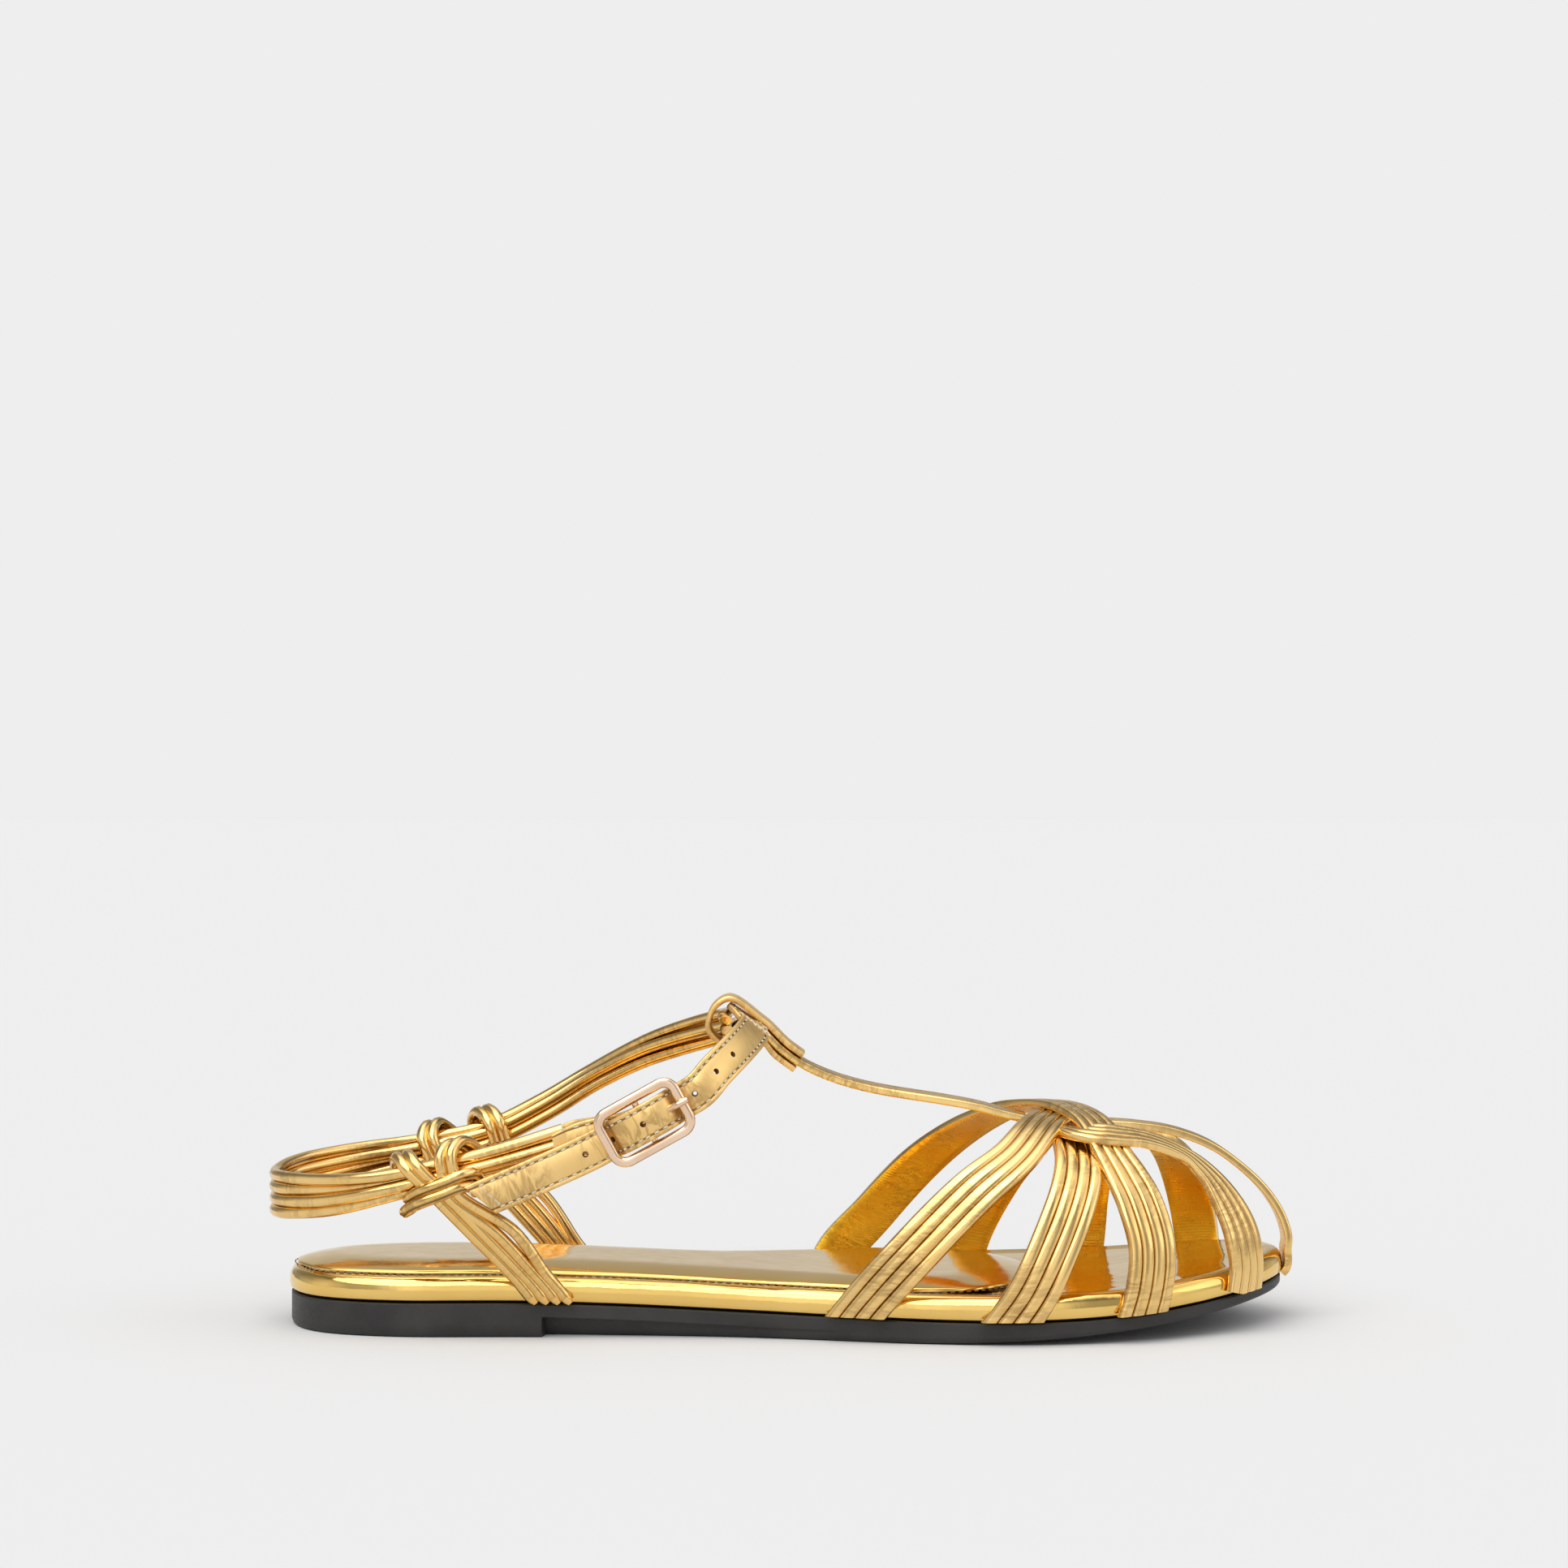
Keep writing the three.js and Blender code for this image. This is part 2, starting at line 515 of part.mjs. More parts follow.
// A strap of the cage. Each long edge of its section is followed until it meets the outsole, so the feet
// end level with the seat.
const STRAP_STEPS = 17;
function cageStrap(rows) {
  const position = rows.map((row, i) => i);
  const track = (key) => column(rows, key, (row) => position[rows.indexOf(row)]);
  const turnRows = rows.map((row) => ({ turn: turnAt(row.along) }));
  const turnOf = column(turnRows, "turn", (row) => turnRows.indexOf(row));
  const [angleOf, liftOf, widthOf] = ["angle", "lift", "width"].map(track);
  const end = rows.length - 1;
  const surface = (u, across, height) => {
    const { point, byTurn, byAngle, normal } = lastFrame(turnOf(u), angleOf(u));
    const ahead = lastFrame(turnOf(u + 0.01), angleOf(u + 0.01)).point;
    const behind = lastFrame(turnOf(u - 0.01), angleOf(u - 0.01)).point;
    const side = ahead.sub(behind).normalize().cross(normal).normalize();
    // side is written in the last's own two directions, so that the strap hugs the last across its width
    const [aa, ab, bb] = [byTurn.dot(byTurn), byTurn.dot(byAngle), byAngle.dot(byAngle)];
    const [sa, sb] = [side.dot(byTurn), side.dot(byAngle)];
    const scale = (across * widthOf(u) * STRAP_WIDTH) / (aa * bb - ab * ab);
    const turn = turnOf(u) + scale * (sa * bb - sb * ab);
    const angle = angleOf(u) + scale * (sb * aa - sa * ab);
    const there = lastFrame(turn, angle);
    return there.point.addScaledVector(there.normal, GAP + height + liftOf(u) * STRAP_THICK);
  };
  const meetsSeat = (across, outside, inside) => {
    let [low, high] = [outside, inside];
    for (let i = 0; i < 18; i += 1) {
      const u = (low + high) / 2;
      const point = surface(u, across, 0);
      const along = (point.x + HEEL_TO_ORIGIN) / LENGTH;
      if (point.z > seatHeight(turnAt(along)) + 2 * GAP) high = u;
      else low = u;
    }
    return high;
  };
  const profile = ribbedProfile();
  const ends = profile.map(({ x }) => [meetsSeat(x, 0.01, 2), meetsSeat(x, end - 0.01, end - 2)]);
  const rings = [];
  for (let i = 0; i <= STRAP_STEPS; i += 1) {
    const ring = profile.map(({ x, y }, k) => surface(THREE.MathUtils.lerp(...ends[k], i / STRAP_STEPS), x, y));
    rings.push(ring);
  }
  return loft(rings, profileCap(profile));
}

// A ribbon through rows of { point, normal, width }, with the section's x across it and y along the normal.
function ribbon(rows, profile, steps) {
  const path = new THREE.CatmullRomCurve3(rows.map((row) => row.point), false, "centripetal");
  const normals = new THREE.CatmullRomCurve3(rows.map((row) => row.normal), false, "centripetal");
  const widths = rows.map((row, i) => ({ i, width: row.width }));
  const widthAt = column(widths, "width", (row) => row.i);
  const rings = [];
  for (let i = 0; i <= steps; i += 1) {
    const t = i / steps;
    const tangent = path.getTangent(t);
    const normal = normals.getPoint(t);
    normal.addScaledVector(tangent, -normal.dot(tangent)).normalize();
    const side = tangent.clone().cross(normal);
    const centre = path.getPoint(t);
    const width = widthAt(t * (rows.length - 1));
    const ring = profile.map(({ x, y }) =>
      centre.clone().addScaledVector(side, x * width).addScaledVector(normal, y),
    );
    rings.push(ring);
  }
  return loft(rings, profileCap(profile));
}

// The crown's point and outward normal at a turn, in the plane of the footbed's middle line.
function crownFrame(turn) {
  const { point, normal } = lastFrame(turn, 90);
  return { point, normal };
}

// The toe strap's foot, as shares of the footbed's thickness: how far it drops down the rim and tucks in.
const TOE_FOOT = [
  [0.15, 0.02],
  [0.55, 0],
  [0.92, 0.06],
];
function toeStrap() {
  const rows = TOE_STRAP.map(({ along, lift, width }) => {
    // at the very tip the last is a point, so the crown's own slope gives the normal
    const turn = Math.min(turnAt(along), 0.985);
    const { point, normal } = crownFrame(turn);
    return {
      point: point.addScaledVector(normal, GAP + lift * STRAP_THICK),
      normal,
      width: width * STRAP_WIDTH,
    };
  });
  const tip = lastPoint(1, 90);
  const forward = new THREE.Vector3(1, 0, 0);
  for (const [drop, tuck] of TOE_FOOT) {
    const point = tip.clone().addScaledVector(forward, GAP - tuck * FOOTBED_THICK);
    point.z = rimHeight(1) - drop * (FOOTBED_THICK - GAP);
    rows.push({ point, normal: forward, width: 0.8 * STRAP_WIDTH });
  }
  return ribbon(rows, ribbedProfile(), 14);
}

const cage = () => toGeometry(joined([...Object.values(CAGE).map(cageStrap), toeStrap()]));

// The instep strap's inner face along its middle, knot to loop.
function instepCurve() {
  const points = INSTEP.map(
    ({ along, rise }) => new THREE.Vector3(xAt(along), 0, THREE.MathUtils.lerp(CROWN_HEIGHT, ANKLE_HEIGHT, rise)),
  );
  return new THREE.CatmullRomCurve3(points, false, "centripetal");
}

function instepStrap() {
  const curve = instepCurve();
  const rows = [];
  for (let i = 0; i <= 12; i += 1) {
    const tangent = curve.getTangentAt(i / 12);
    const normal = new THREE.Vector3(tangent.z, 0, -tangent.x);
    rows.push({ point: curve.getPointAt(i / 12), normal, width: STRAP_WIDTH });
  }
  return ribbon(rows, ribbedProfile(), 13);
}

// The instep loop's frame: down runs to the toe along the instep strap, normal faces out of the instep.
const LOOP_SLOPE = 34; // degrees
const LOOP_STAND = 2.9; // buckle strap's edge to the instep strap's end
function loopFrame() {
  const down = new THREE.Vector3(Math.cos(LOOP_SLOPE * DEGREE), 0, -Math.sin(LOOP_SLOPE * DEGREE));
  const normal = new THREE.Vector3(-down.z, 0, down.x);
  const end = instepCurve().getPoint(1);
  const centre = end.addScaledVector(down, -BAND_WIDTH / 2 - LOOP_STAND).addScaledVector(normal, 1.4);
  return { centre, down, normal, side: new THREE.Vector3(0, 1, 0) };
}

// A flat section with its four long edges cut off by bevel. x is a share of the width.
function flatProfile(width, thick, bevel) {
  const side = 0.5 - bevel / width;
  const half = thick / 2;
  return [
    new THREE.Vector2(0.5, bevel - half),
    new THREE.Vector2(0.5, half - bevel),
    new THREE.Vector2(side, half),
    new THREE.Vector2(-side, half),
    new THREE.Vector2(-0.5, half - bevel),
    new THREE.Vector2(-0.5, bevel - half),
    new THREE.Vector2(-side, -half),
    new THREE.Vector2(side, -half),
  ];
}

// The ankle cords' shared route. Its first row lies behind the buckle strap and the next two in the loop.
const CORD_PITCH = CORD * 0.98; // neighbouring cords press together, so they are one piece
const LOOP_FAN = 0.72;
const CORDS_PAST_LOOP = 4; // the cords' ends stand out of the loop by this much, behind the buckle strap
const bunchOf = (fan) => Math.sqrt(Math.max(0, 1 - fan * fan)) * CORD_PITCH * 0.5;
const anklePoint = ({ along, across, height }) =>
  new THREE.Vector3(xAt(along), across * ANKLE_WIDTH, height * ANKLE_HEIGHT);
const cordsInLoop = -(BAND_THICK / 2 + 2.4 * GAP + CORD / 2 + bunchOf(LOOP_FAN));
function ankleRows() {
  const { centre, down, normal, side } = loopFrame();
  const inLoop = (across) => ({
    point: centre.clone().addScaledVector(normal, cordsInLoop).addScaledVector(side, across),
    fan: LOOP_FAN,
    roll: LOOP_SLOPE - 90,
  });
  const end = inLoop(-LOOP_WIDTH / 2 - CORDS_PAST_LOOP);
  end.point.addScaledVector(down, CORDS_PAST_LOOP * 0.15);
  return [
    end,
    inLoop(-LOOP_WIDTH * 0.7),
    inLoop(LOOP_WIDTH * 0.6),
    ...ANKLE.map((row) => ({ point: anklePoint(row), fan: row.fan, roll: row.roll })),
  ];
}
const route = ankleRows();
const routeCurve = new THREE.CatmullRomCurve3(route.map((row) => row.point), false, "centripetal");
const fanAt = column(route, "fan", (row) => route.indexOf(row));
const rollAt = column(route, "roll", (row) => route.indexOf(row));

// A frame on that route at a place among its rows: out points away from the ankle and up runs across the cords.
function ankleFrame(place) {
  const t = place / (route.length - 1);
  const point = routeCurve.getPoint(t);
  const tangent = routeCurve.getTangent(t);
  const upright = new THREE.Vector3(0, 0, 1).addScaledVector(tangent, -tangent.z).normalize();
  const roll = rollAt(place) * DEGREE;
  const up = upright.clone().applyAxisAngle(tangent, roll);
  return { point, tangent, up, out: tangent.clone().cross(up), fan: fanAt(place) };
}

function ankleCordPoint(place, number) {
  const { point, up, out, fan } = ankleFrame(place);
  const rise = (number - (CORDS - 1) / 2) * CORD_PITCH * fan;
  const bunch = bunchOf(fan);
  return point.addScaledVector(up, rise).addScaledVector(out, number % 2 ? bunch : -bunch);
}

// A round cord through points, with flat ends.
function cord(points, diameter, sides, steps) {
  const curve = new THREE.CatmullRomCurve3(points, false, "centripetal");
  const frames = curve.computeFrenetFrames(steps, false);
  const profile = [];
  for (let i = 0; i < sides; i += 1) {
    const angle = (2 * Math.PI * i) / sides;
    profile.push(new THREE.Vector2(Math.cos(angle), Math.sin(angle)).multiplyScalar(diameter / 2));
  }
  const rings = [];
  for (let i = 0; i <= steps; i += 1) {
    const centre = curve.getPointAt(i / steps);
    const ring = profile.map(({ x, y }) =>
      centre.clone().addScaledVector(frames.normals[i], x).addScaledVector(frames.binormals[i], y),
    );
    rings.push(ring);
  }
  return loft(rings, profileCap(profile));
}

const CORD_SIDES = 6;
function ankleBundle(diameter) {
  const cords = [];
  for (let number = 0; number < CORDS; number += 1) {
    const points = [];
    for (let i = 0; i <= 2 * (route.length - 1); i += 1) points.push(ankleCordPoint(i / 2, number));
    cords.push(cord(points, diameter, CORD_SIDES, 24));
  }
  return joined(cords);
}

function tie({ side, knot, foot }) {
  const { point, tangent, up, out, fan } = ankleFrame(knot);
  const forward = tangent.clone().multiplyScalar(Math.sign(tangent.x));
  const clear = GAP + CORD / 2;
  const halfHeight = 1.5 * CORD_PITCH * fan + CORD / 2 + clear;
  const halfThick = bunchOf(fan) + CORD / 2 + clear;
  const placed = (row, shift) =>
    point
      .clone()
      .addScaledVector(forward, row.lean * KNOT_HALF_LENGTH + shift)
      .addScaledVector(out, row.out * halfThick)
      .addScaledVector(up, row.up * halfHeight);
  const cords = [];
  for (let number = 0; number < CORDS; number += 1) {
    const order = number - (CORDS - 1) / 2;
    const seat = seatHeight(turnAt(foot));
    const rises = [2 * GAP, 0.5 * FOOTBED_THICK, FOOTBED_THICK + 1];
    const start = rises.map((rise) => {
      const along = foot + (order * 0.92 * CORD - TIE_LEAN * rise) / LENGTH;
      const flat = outlinePoint(turnAt(along), side, -GAP - CORD / 2);
      return new THREE.Vector3(flat.x, flat.y, seat + rise);
    });
    const rows = order < 0 ? KNOT_BACK : KNOT_FRONT;
    const nest = (order < 0 ? order + 1 : order - 1) * CORD * 0.9;
    const turns = rows.map((row) => placed(row, nest));
    const lower = start[2].clone().lerp(turns[0], 0.5).addScaledVector(forward, TIE_BOW * Math.max(0, order + 0.5));
    cords.push(cord([...start, lower, ...turns], CORD, CORD_SIDES, 10));
  }
  for (const { lean, up: rise } of WRAPS) {
    const wrap = KNOT_WRAP.map((row) => placed({ ...row, lean: row.lean + lean, up: row.up + rise }, 0));
    cords.push(cord(wrap, CORD, CORD_SIDES, 7));
  }
  // the cords press together, so the closed gaps that round sections leave between them are filled
  const shells = joined(cords).subtract(ankleBundle(CORD + 2 * GAP)).decompose();
  return toGeometry(shells.filter((shell) => shell.volume() > 0).reduce((whole, next) => whole.add(next)));
}

// The buckle's frame of reference: run climbs along the strap, across is in the buckle's plane, out faces away.
function buckleFrame() {
  const run = new THREE.Vector3(Math.cos(BUCKLE_TILT * DEGREE), 0, Math.sin(BUCKLE_TILT * DEGREE));
  const out = new THREE.Vector3(0, -1, 0);
  const across = out.clone().cross(run);
  return { centre: anklePoint(BUCKLE_AT), run, out, across };
}

// Places geometry drawn in the buckle's plane: its x is run, y is across and z is out.
function inBuckle(geometry) {
  const { centre, run, out, across } = buckleFrame();
  return geometry.applyMatrix4(new THREE.Matrix4().makeBasis(run, across, out).setPosition(centre));
}

function roundedRectangle(path, width, height, radius) {
  const [x, y] = [width / 2, height / 2];
  path.moveTo(-x + radius, -y);
  path.lineTo(x - radius, -y);
  path.absarc(x - radius, -y + radius, radius, -Math.PI / 2, 0);
  path.lineTo(x, y - radius);
  path.absarc(x - radius, y - radius, radius, 0, Math.PI / 2);
  path.lineTo(-x + radius, y);
  path.absarc(-x + radius, y - radius, radius, Math.PI / 2, Math.PI);
  path.lineTo(-x, -y + radius);
  path.absarc(-x + radius, -y + radius, radius, Math.PI, 1.5 * Math.PI);
  return path;
}

const BAR = 1.6; // diameter of the buckle's middle bar
const BAR_DEPTH = 1.5; // the bar's centre behind the frame's
function buckleFrameSolid() {
  const shape = roundedRectangle(new THREE.Shape(), BUCKLE_LENGTH, BUCKLE_ACROSS, BUCKLE_CORNER);
  const hole = [BUCKLE_LENGTH, BUCKLE_ACROSS].map((size) => size - 2 * BUCKLE_WIRE);
  shape.holes.push(roundedRectangle(new THREE.Path(), ...hole, BUCKLE_CORNER - BUCKLE_WIRE * 0.7));
  const frame = new THREE.ExtrudeGeometry(shape, {
    depth: BUCKLE_THICK - 0.8,
    bevelThickness: 0.4,
    bevelSize: 0.4,
    bevelOffset: -0.4,
    bevelSegments: 1,
    curveSegments: 3,
  }).translate(0, 0, -BUCKLE_THICK / 2 + 0.4);
  const bar = new THREE.CylinderGeometry(BAR / 2, BAR / 2, BUCKLE_ACROSS - 2 * BUCKLE_WIRE + 1, 8);
  const ears = [-1, 1].map((end) =>
    new THREE.BoxGeometry(BAR, BUCKLE_WIRE, BAR_DEPTH + BAR / 2).translate(
      0,
      end * (BUCKLE_ACROSS - BUCKLE_WIRE) * 0.5,
      -(BAR_DEPTH + BAR / 2) / 2,
    ),
  );
  return toGeometry(joined([frame, bar.translate(0, 0, -BAR_DEPTH), ...ears]));
}

// The prong hangs on the middle bar by a ring, comes up through the strap and rests on the frame's front bar.
const PRONG_TIP = BUCKLE_LENGTH / 2 + 0.4;
const PRONG_RING = BAR / 2 + GAP + PRONG / 2; // radius of the ring's centre line
const PRONG_REST = BUCKLE_THICK / 2 + GAP + PRONG / 2;
function prong(diameter, sides) {
  const points = [
    new THREE.Vector3(0, 0, PRONG_RING - BAR_DEPTH),
    new THREE.Vector3(PRONG_TIP * 0.34, 0, -0.05),
    new THREE.Vector3(PRONG_TIP * 0.56, 0, PRONG_REST * 0.25),
    new THREE.Vector3(PRONG_TIP * 0.78, 0, PRONG_REST),
    new THREE.Vector3(PRONG_TIP, 0, PRONG_REST),
  ];
  const ring = new THREE.TorusGeometry(PRONG_RING, diameter / 2, sides, 10);
  return toGeometry(joined([cord(points, diameter, sides, 6), ring.rotateX(Math.PI / 2).translate(0, 0, -BAR_DEPTH)]));
}

// The buckle strap's centre line: under the frame's back bar, over the middle bar with its tab, under the
// front bar and up into the instep loop.
const TAIL_RISE = 3.5; // the free end bends up by this much
const TAIL_CUT = 21; // degrees the free end is cut off square
const BAND_IN_LOOP = 0.8; // how far down the loop the strap lies
const UNDER = -BUCKLE_THICK / 2 - GAP - BAND_THICK / 2 - 0.15;
const OVER = -BAR_DEPTH + PRONG_RING + PRONG / 2 + GAP + BAND_THICK / 2;
function bandRows() {
  const { centre, run, out } = buckleFrame();
  const at = (along, height, drop = 0) =>
    centre
      .clone()
      .addScaledVector(run, along)
      .addScaledVector(out, height)
      .add(new THREE.Vector3(0, 0, -drop));
  const bar = BUCKLE_LENGTH / 2;
  const loop = loopFrame();
  const front = (along, across, height) => anklePoint({ along, across, height });
  const inLoop = (across) =>
    loop.centre.clone().addScaledVector(loop.down, BAND_IN_LOOP).addScaledVector(loop.side, across);
  const rows = [
    [at(-TAIL_LENGTH - 2, UNDER + 1.6, -TAIL_RISE), out],
    [at(-TAIL_LENGTH * 0.7, UNDER + 0.6, -0.45 * TAIL_RISE), out],
    [at(-bar - 3, UNDER, 0), out],
    [at(-bar + BUCKLE_WIRE + 0.2, UNDER, 0), out],
    [at(-bar * 0.56, OVER * 0.3, 0), out],
    [at(-bar * 0.22, OVER * 0.95, 0), out],
    [at(bar * 0.2, OVER, 0), out],
    [at(bar * 0.52, OVER * 0.4, 0), out],
    [at(bar - BUCKLE_WIRE - 0.2, UNDER, 0), out],
    [at(bar + 3.5, UNDER, -0.3), out],
    [front(0.431, -0.545, 0.875), new THREE.Vector3(0.3, -0.93, 0.2)],
    [front(0.45, -0.43, 0.935), new THREE.Vector3(0.55, -0.75, 0.36)],
    [front(0.464, -0.28, 0.98), new THREE.Vector3(0.64, -0.6, 0.46)],
    [front(0.467, -0.18, 0.998), new THREE.Vector3(0.66, -0.42, 0.62)],
    [inLoop(-LOOP_WIDTH / 2), loop.normal],
    [inLoop(0), loop.normal],
    [inLoop(LOOP_WIDTH * 0.35), loop.normal],
  ];
  return rows.map(([point, normal]) => ({ point, normal, width: BAND_WIDTH }));
}

function buckleStrap() {
  const rows = bandRows();
  let solid = toSolid(ribbon(rows, flatProfile(BAND_WIDTH, BAND_THICK, 0.25), 28));
  const pinAt = PRONG_TIP * 0.62;
  const punch = (run) => {
    const pin = new THREE.CylinderGeometry(HOLE / 2, HOLE / 2, 8 * BAND_THICK, 8).rotateX(Math.PI / 2);
    return toSolid(inBuckle(pin.translate(run, 0, 0)));
  };
  for (let i = 1; i <= TAIL_HOLES; i += 1) solid = solid.subtract(punch(pinAt - i * HOLE_PITCH));
  const path = new THREE.CatmullRomCurve3(rows.map((row) => row.point), false, "centripetal");
  const normals = new THREE.CatmullRomCurve3(rows.map((row) => row.normal), false, "centripetal");
  for (let i = 1; i <= FRONT_HOLES; i += 1) {
    solid = solid.subtract(frontPunch(path, normals, pinAt + i * HOLE_PITCH));
  }
  const cut = new THREE.BoxGeometry(BAND_WIDTH, 3 * BAND_WIDTH, BAND_WIDTH).translate(-BAND_WIDTH / 2, 0, 0);
  cut.rotateZ(TAIL_CUT * DEGREE).translate(TAIL_RISE / 2 - TAIL_LENGTH, TAIL_RISE, 0);
  solid = solid.subtract(toSolid(inBuckle(cut)));
  return toGeometry(solid.subtract(toSolid(inBuckle(prong(PRONG + 2.4 * GAP, 8)))));
}

// A punch square to the strap, at a distance run past the buckle's middle bar.
function frontPunch(path, normals, run) {
  const { centre } = buckleFrame();
  let t = 0;
  let travelled = -1;
  let before = path.getPoint(0);
  for (let i = 1; i <= 400 && travelled < run; i += 1) {
    t = i / 400;
    const here = path.getPoint(t);
    if (travelled < 0 && here.x > centre.x) travelled = 0;
    if (travelled >= 0) travelled += here.distanceTo(before);
    before = here;
  }
  const tangent = path.getTangent(t);
  const normal = normals.getPoint(t);
  normal.addScaledVector(tangent, -normal.dot(tangent)).normalize();
  const pin = new THREE.CylinderGeometry(HOLE / 2, HOLE / 2, 4 * BAND_THICK, 8);
  pin.applyQuaternion(new THREE.Quaternion().setFromUnitVectors(new THREE.Vector3(0, 1, 0), normal));
  return toSolid(pin.translate(before.x, before.y, before.z));
}

// The tab that holds the buckle: folded round the middle bar, its two layers run back over the cords' ends.
// along and across are millimetres in the buckle's plane.
const TAB_THICK = 1.0;
const TAB_REACH = 22;
function buckleTab() {
  const { centre, run, out, across } = buckleFrame();
  const bend = BAR / 2 + GAP + TAB_THICK / 2;
  const cordsEnd = route.at(-1).point.clone().sub(centre);
  const climb = cordsEnd.dot(across) / cordsEnd.dot(run);
  const half = CORD / 2 + bunchOf(route.at(-1).fan) + GAP + TAB_THICK / 2;
  const outer = cordsEnd.dot(out) + half;
  const inner = cordsEnd.dot(out) - half;
  const at = (along, height) =>
    centre
      .clone()
      .addScaledVector(run, along)
      .addScaledVector(out, height)
      .addScaledVector(across, Math.min(along + 4, 0) * climb * 1.15);
  const inward = out.clone().negate();
  const rows = [
    [at(-TAB_REACH, outer), out],
    [at(-TAB_REACH * 0.6, outer - 0.1), out],
    [at(-7, outer + 0.6), out],
    [at(-3, bend - BAR_DEPTH - 1), out],
    [at(-0.5, bend - BAR_DEPTH), out],
    [at(bend * 0.8, bend * 0.6 - BAR_DEPTH), run],
    [at(bend, -BAR_DEPTH), run],
    [at(bend * 0.8, -bend * 0.6 - BAR_DEPTH), run],
    [at(-0.5, -bend - BAR_DEPTH), inward],
    [at(-6, Math.min(-bend - BAR_DEPTH - 0.6, outer - 1.6)), inward],
    [at(-TAB_REACH * 0.62, inner + 1.5), inward],
    [at(-TAB_REACH * 0.78, inner), inward],
    [at(-TAB_REACH, inner), inward],
  ];
  const width = BAND_WIDTH - 0.6;
  const layers = rows.map(([point, normal]) => ({ point, normal, width }));
  const tab = toSolid(ribbon(layers, flatProfile(width, TAB_THICK, 0.15), 20));
  const clear = PRONG_RING + PRONG / 2 + GAP;
  const slot = new THREE.BoxGeometry(2 * clear, PRONG + 4 * GAP, 4 * clear).translate(0, 0, -BAR_DEPTH);
  return toGeometry(tab.subtract(toSolid(inBuckle(slot))));
}

// The folded loop at the top of the instep strap. Both its ends lie along the strap, one above and one below.
function instepLoop() {
  const { centre, down, normal } = loopFrame();
  const half = LOOP_THICK / 2;
  const reach = BAND_WIDTH / 2 + 0.6;
  const above = BAND_THICK / 2 + GAP + half;
  const below = 2 * cordsInLoop + BAND_THICK / 2 - half;
  const at = (along, height) => centre.clone().addScaledVector(down, along).addScaledVector(normal, height);
  const strap = instepCurve();
  const beside = (back, offset) => {
    const t = 1 - back / strap.getLength();
    const tangent = strap.getTangentAt(t);
    const outward = new THREE.Vector3(tangent.z, 0, -tangent.x);
    return [strap.getPointAt(t).addScaledVector(outward, offset), outward.multiplyScalar(Math.sign(offset))];
  };
  const over = STRAP_THICK + 1.5 * GAP + half;
  const under = -1.5 * GAP - half;
  const rows = [
    beside(LOOP_TAIL, over),
    beside(LOOP_TAIL * 0.5, over),
    beside(0, over),
    [at(reach, above), normal],
    [at(-reach + 0.8, above), normal],
    [at(-reach - half - 0.4, (above + below) / 2 + 1.6), down.clone().negate()],
    [at(-reach - half - 0.2, (above + below) / 2 - 1.6), down.clone().negate()],
    [at(-reach + 1, below), normal.clone().negate()],
    [at(reach - 1, below), normal.clone().negate()],
    beside(0, under),
    beside(LOOP_TAIL * 0.5, under),
    beside(LOOP_TAIL, under),
  ];
  return ribbon(
    rows.map(([point, outward]) => ({ point, normal: outward, width: LOOP_WIDTH })),
    flatProfile(LOOP_WIDTH, LOOP_THICK, 0.2),
    21,
  );
}

// Finishes
const finish = (color, metalness, roughness) => new THREE.MeshStandardMaterial({ color, metalness, roughness });
const goldLeather = finish(0xd9a441, 0.9, 0.28);
const goldWrap = finish(0xdca63a, 0.95, 0.15);
const blackRubber = finish(0x2b2929, 0, 0.55);
const roseMetal = finish(0xe6b48c, 1, 0.18);

const shoe = new THREE.Group();
function add(name, geometry, material) {
  const mesh = new THREE.Mesh(geometry, material);
  mesh.name = name;
  shoe.add(mesh);
}

add("outsole", outsole(), blackRubber);
add("footbed", footbed(), goldWrap);
add("insole_pad", insolePad(), goldWrap);
add("cage_straps", cage(), goldLeather);
add("instep_strap", instepStrap(), goldLeather);
add("instep_loop", instepLoop(), goldLeather);
add("ankle_cords", toGeometry(ankleBundle(CORD)), goldLeather);
add("lateral_tie", tie(TIES.lateral), goldLeather);
add("medial_tie", tie(TIES.medial), goldLeather);
add("buckle_tab", buckleTab(), goldLeather);
add("buckle_frame", inBuckle(buckleFrameSolid()), roseMetal);
add("buckle_prong", inBuckle(prong(PRONG, 8)), roseMetal);
add("buckle_strap", buckleStrap(), goldLeather);

export default shoe;
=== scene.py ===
# Looks for a flat strappy sandal: folded gold straps, corded ankle strap, wrapped footbed and black sole.
# Lengths in the tables and the named sizes are millimetres until a point is placed, which is in metres.
import math

import bmesh
import bpy
from bpy.props import FloatProperty, FloatVectorProperty, PointerProperty
from mathutils import Matrix, Quaternion, Vector


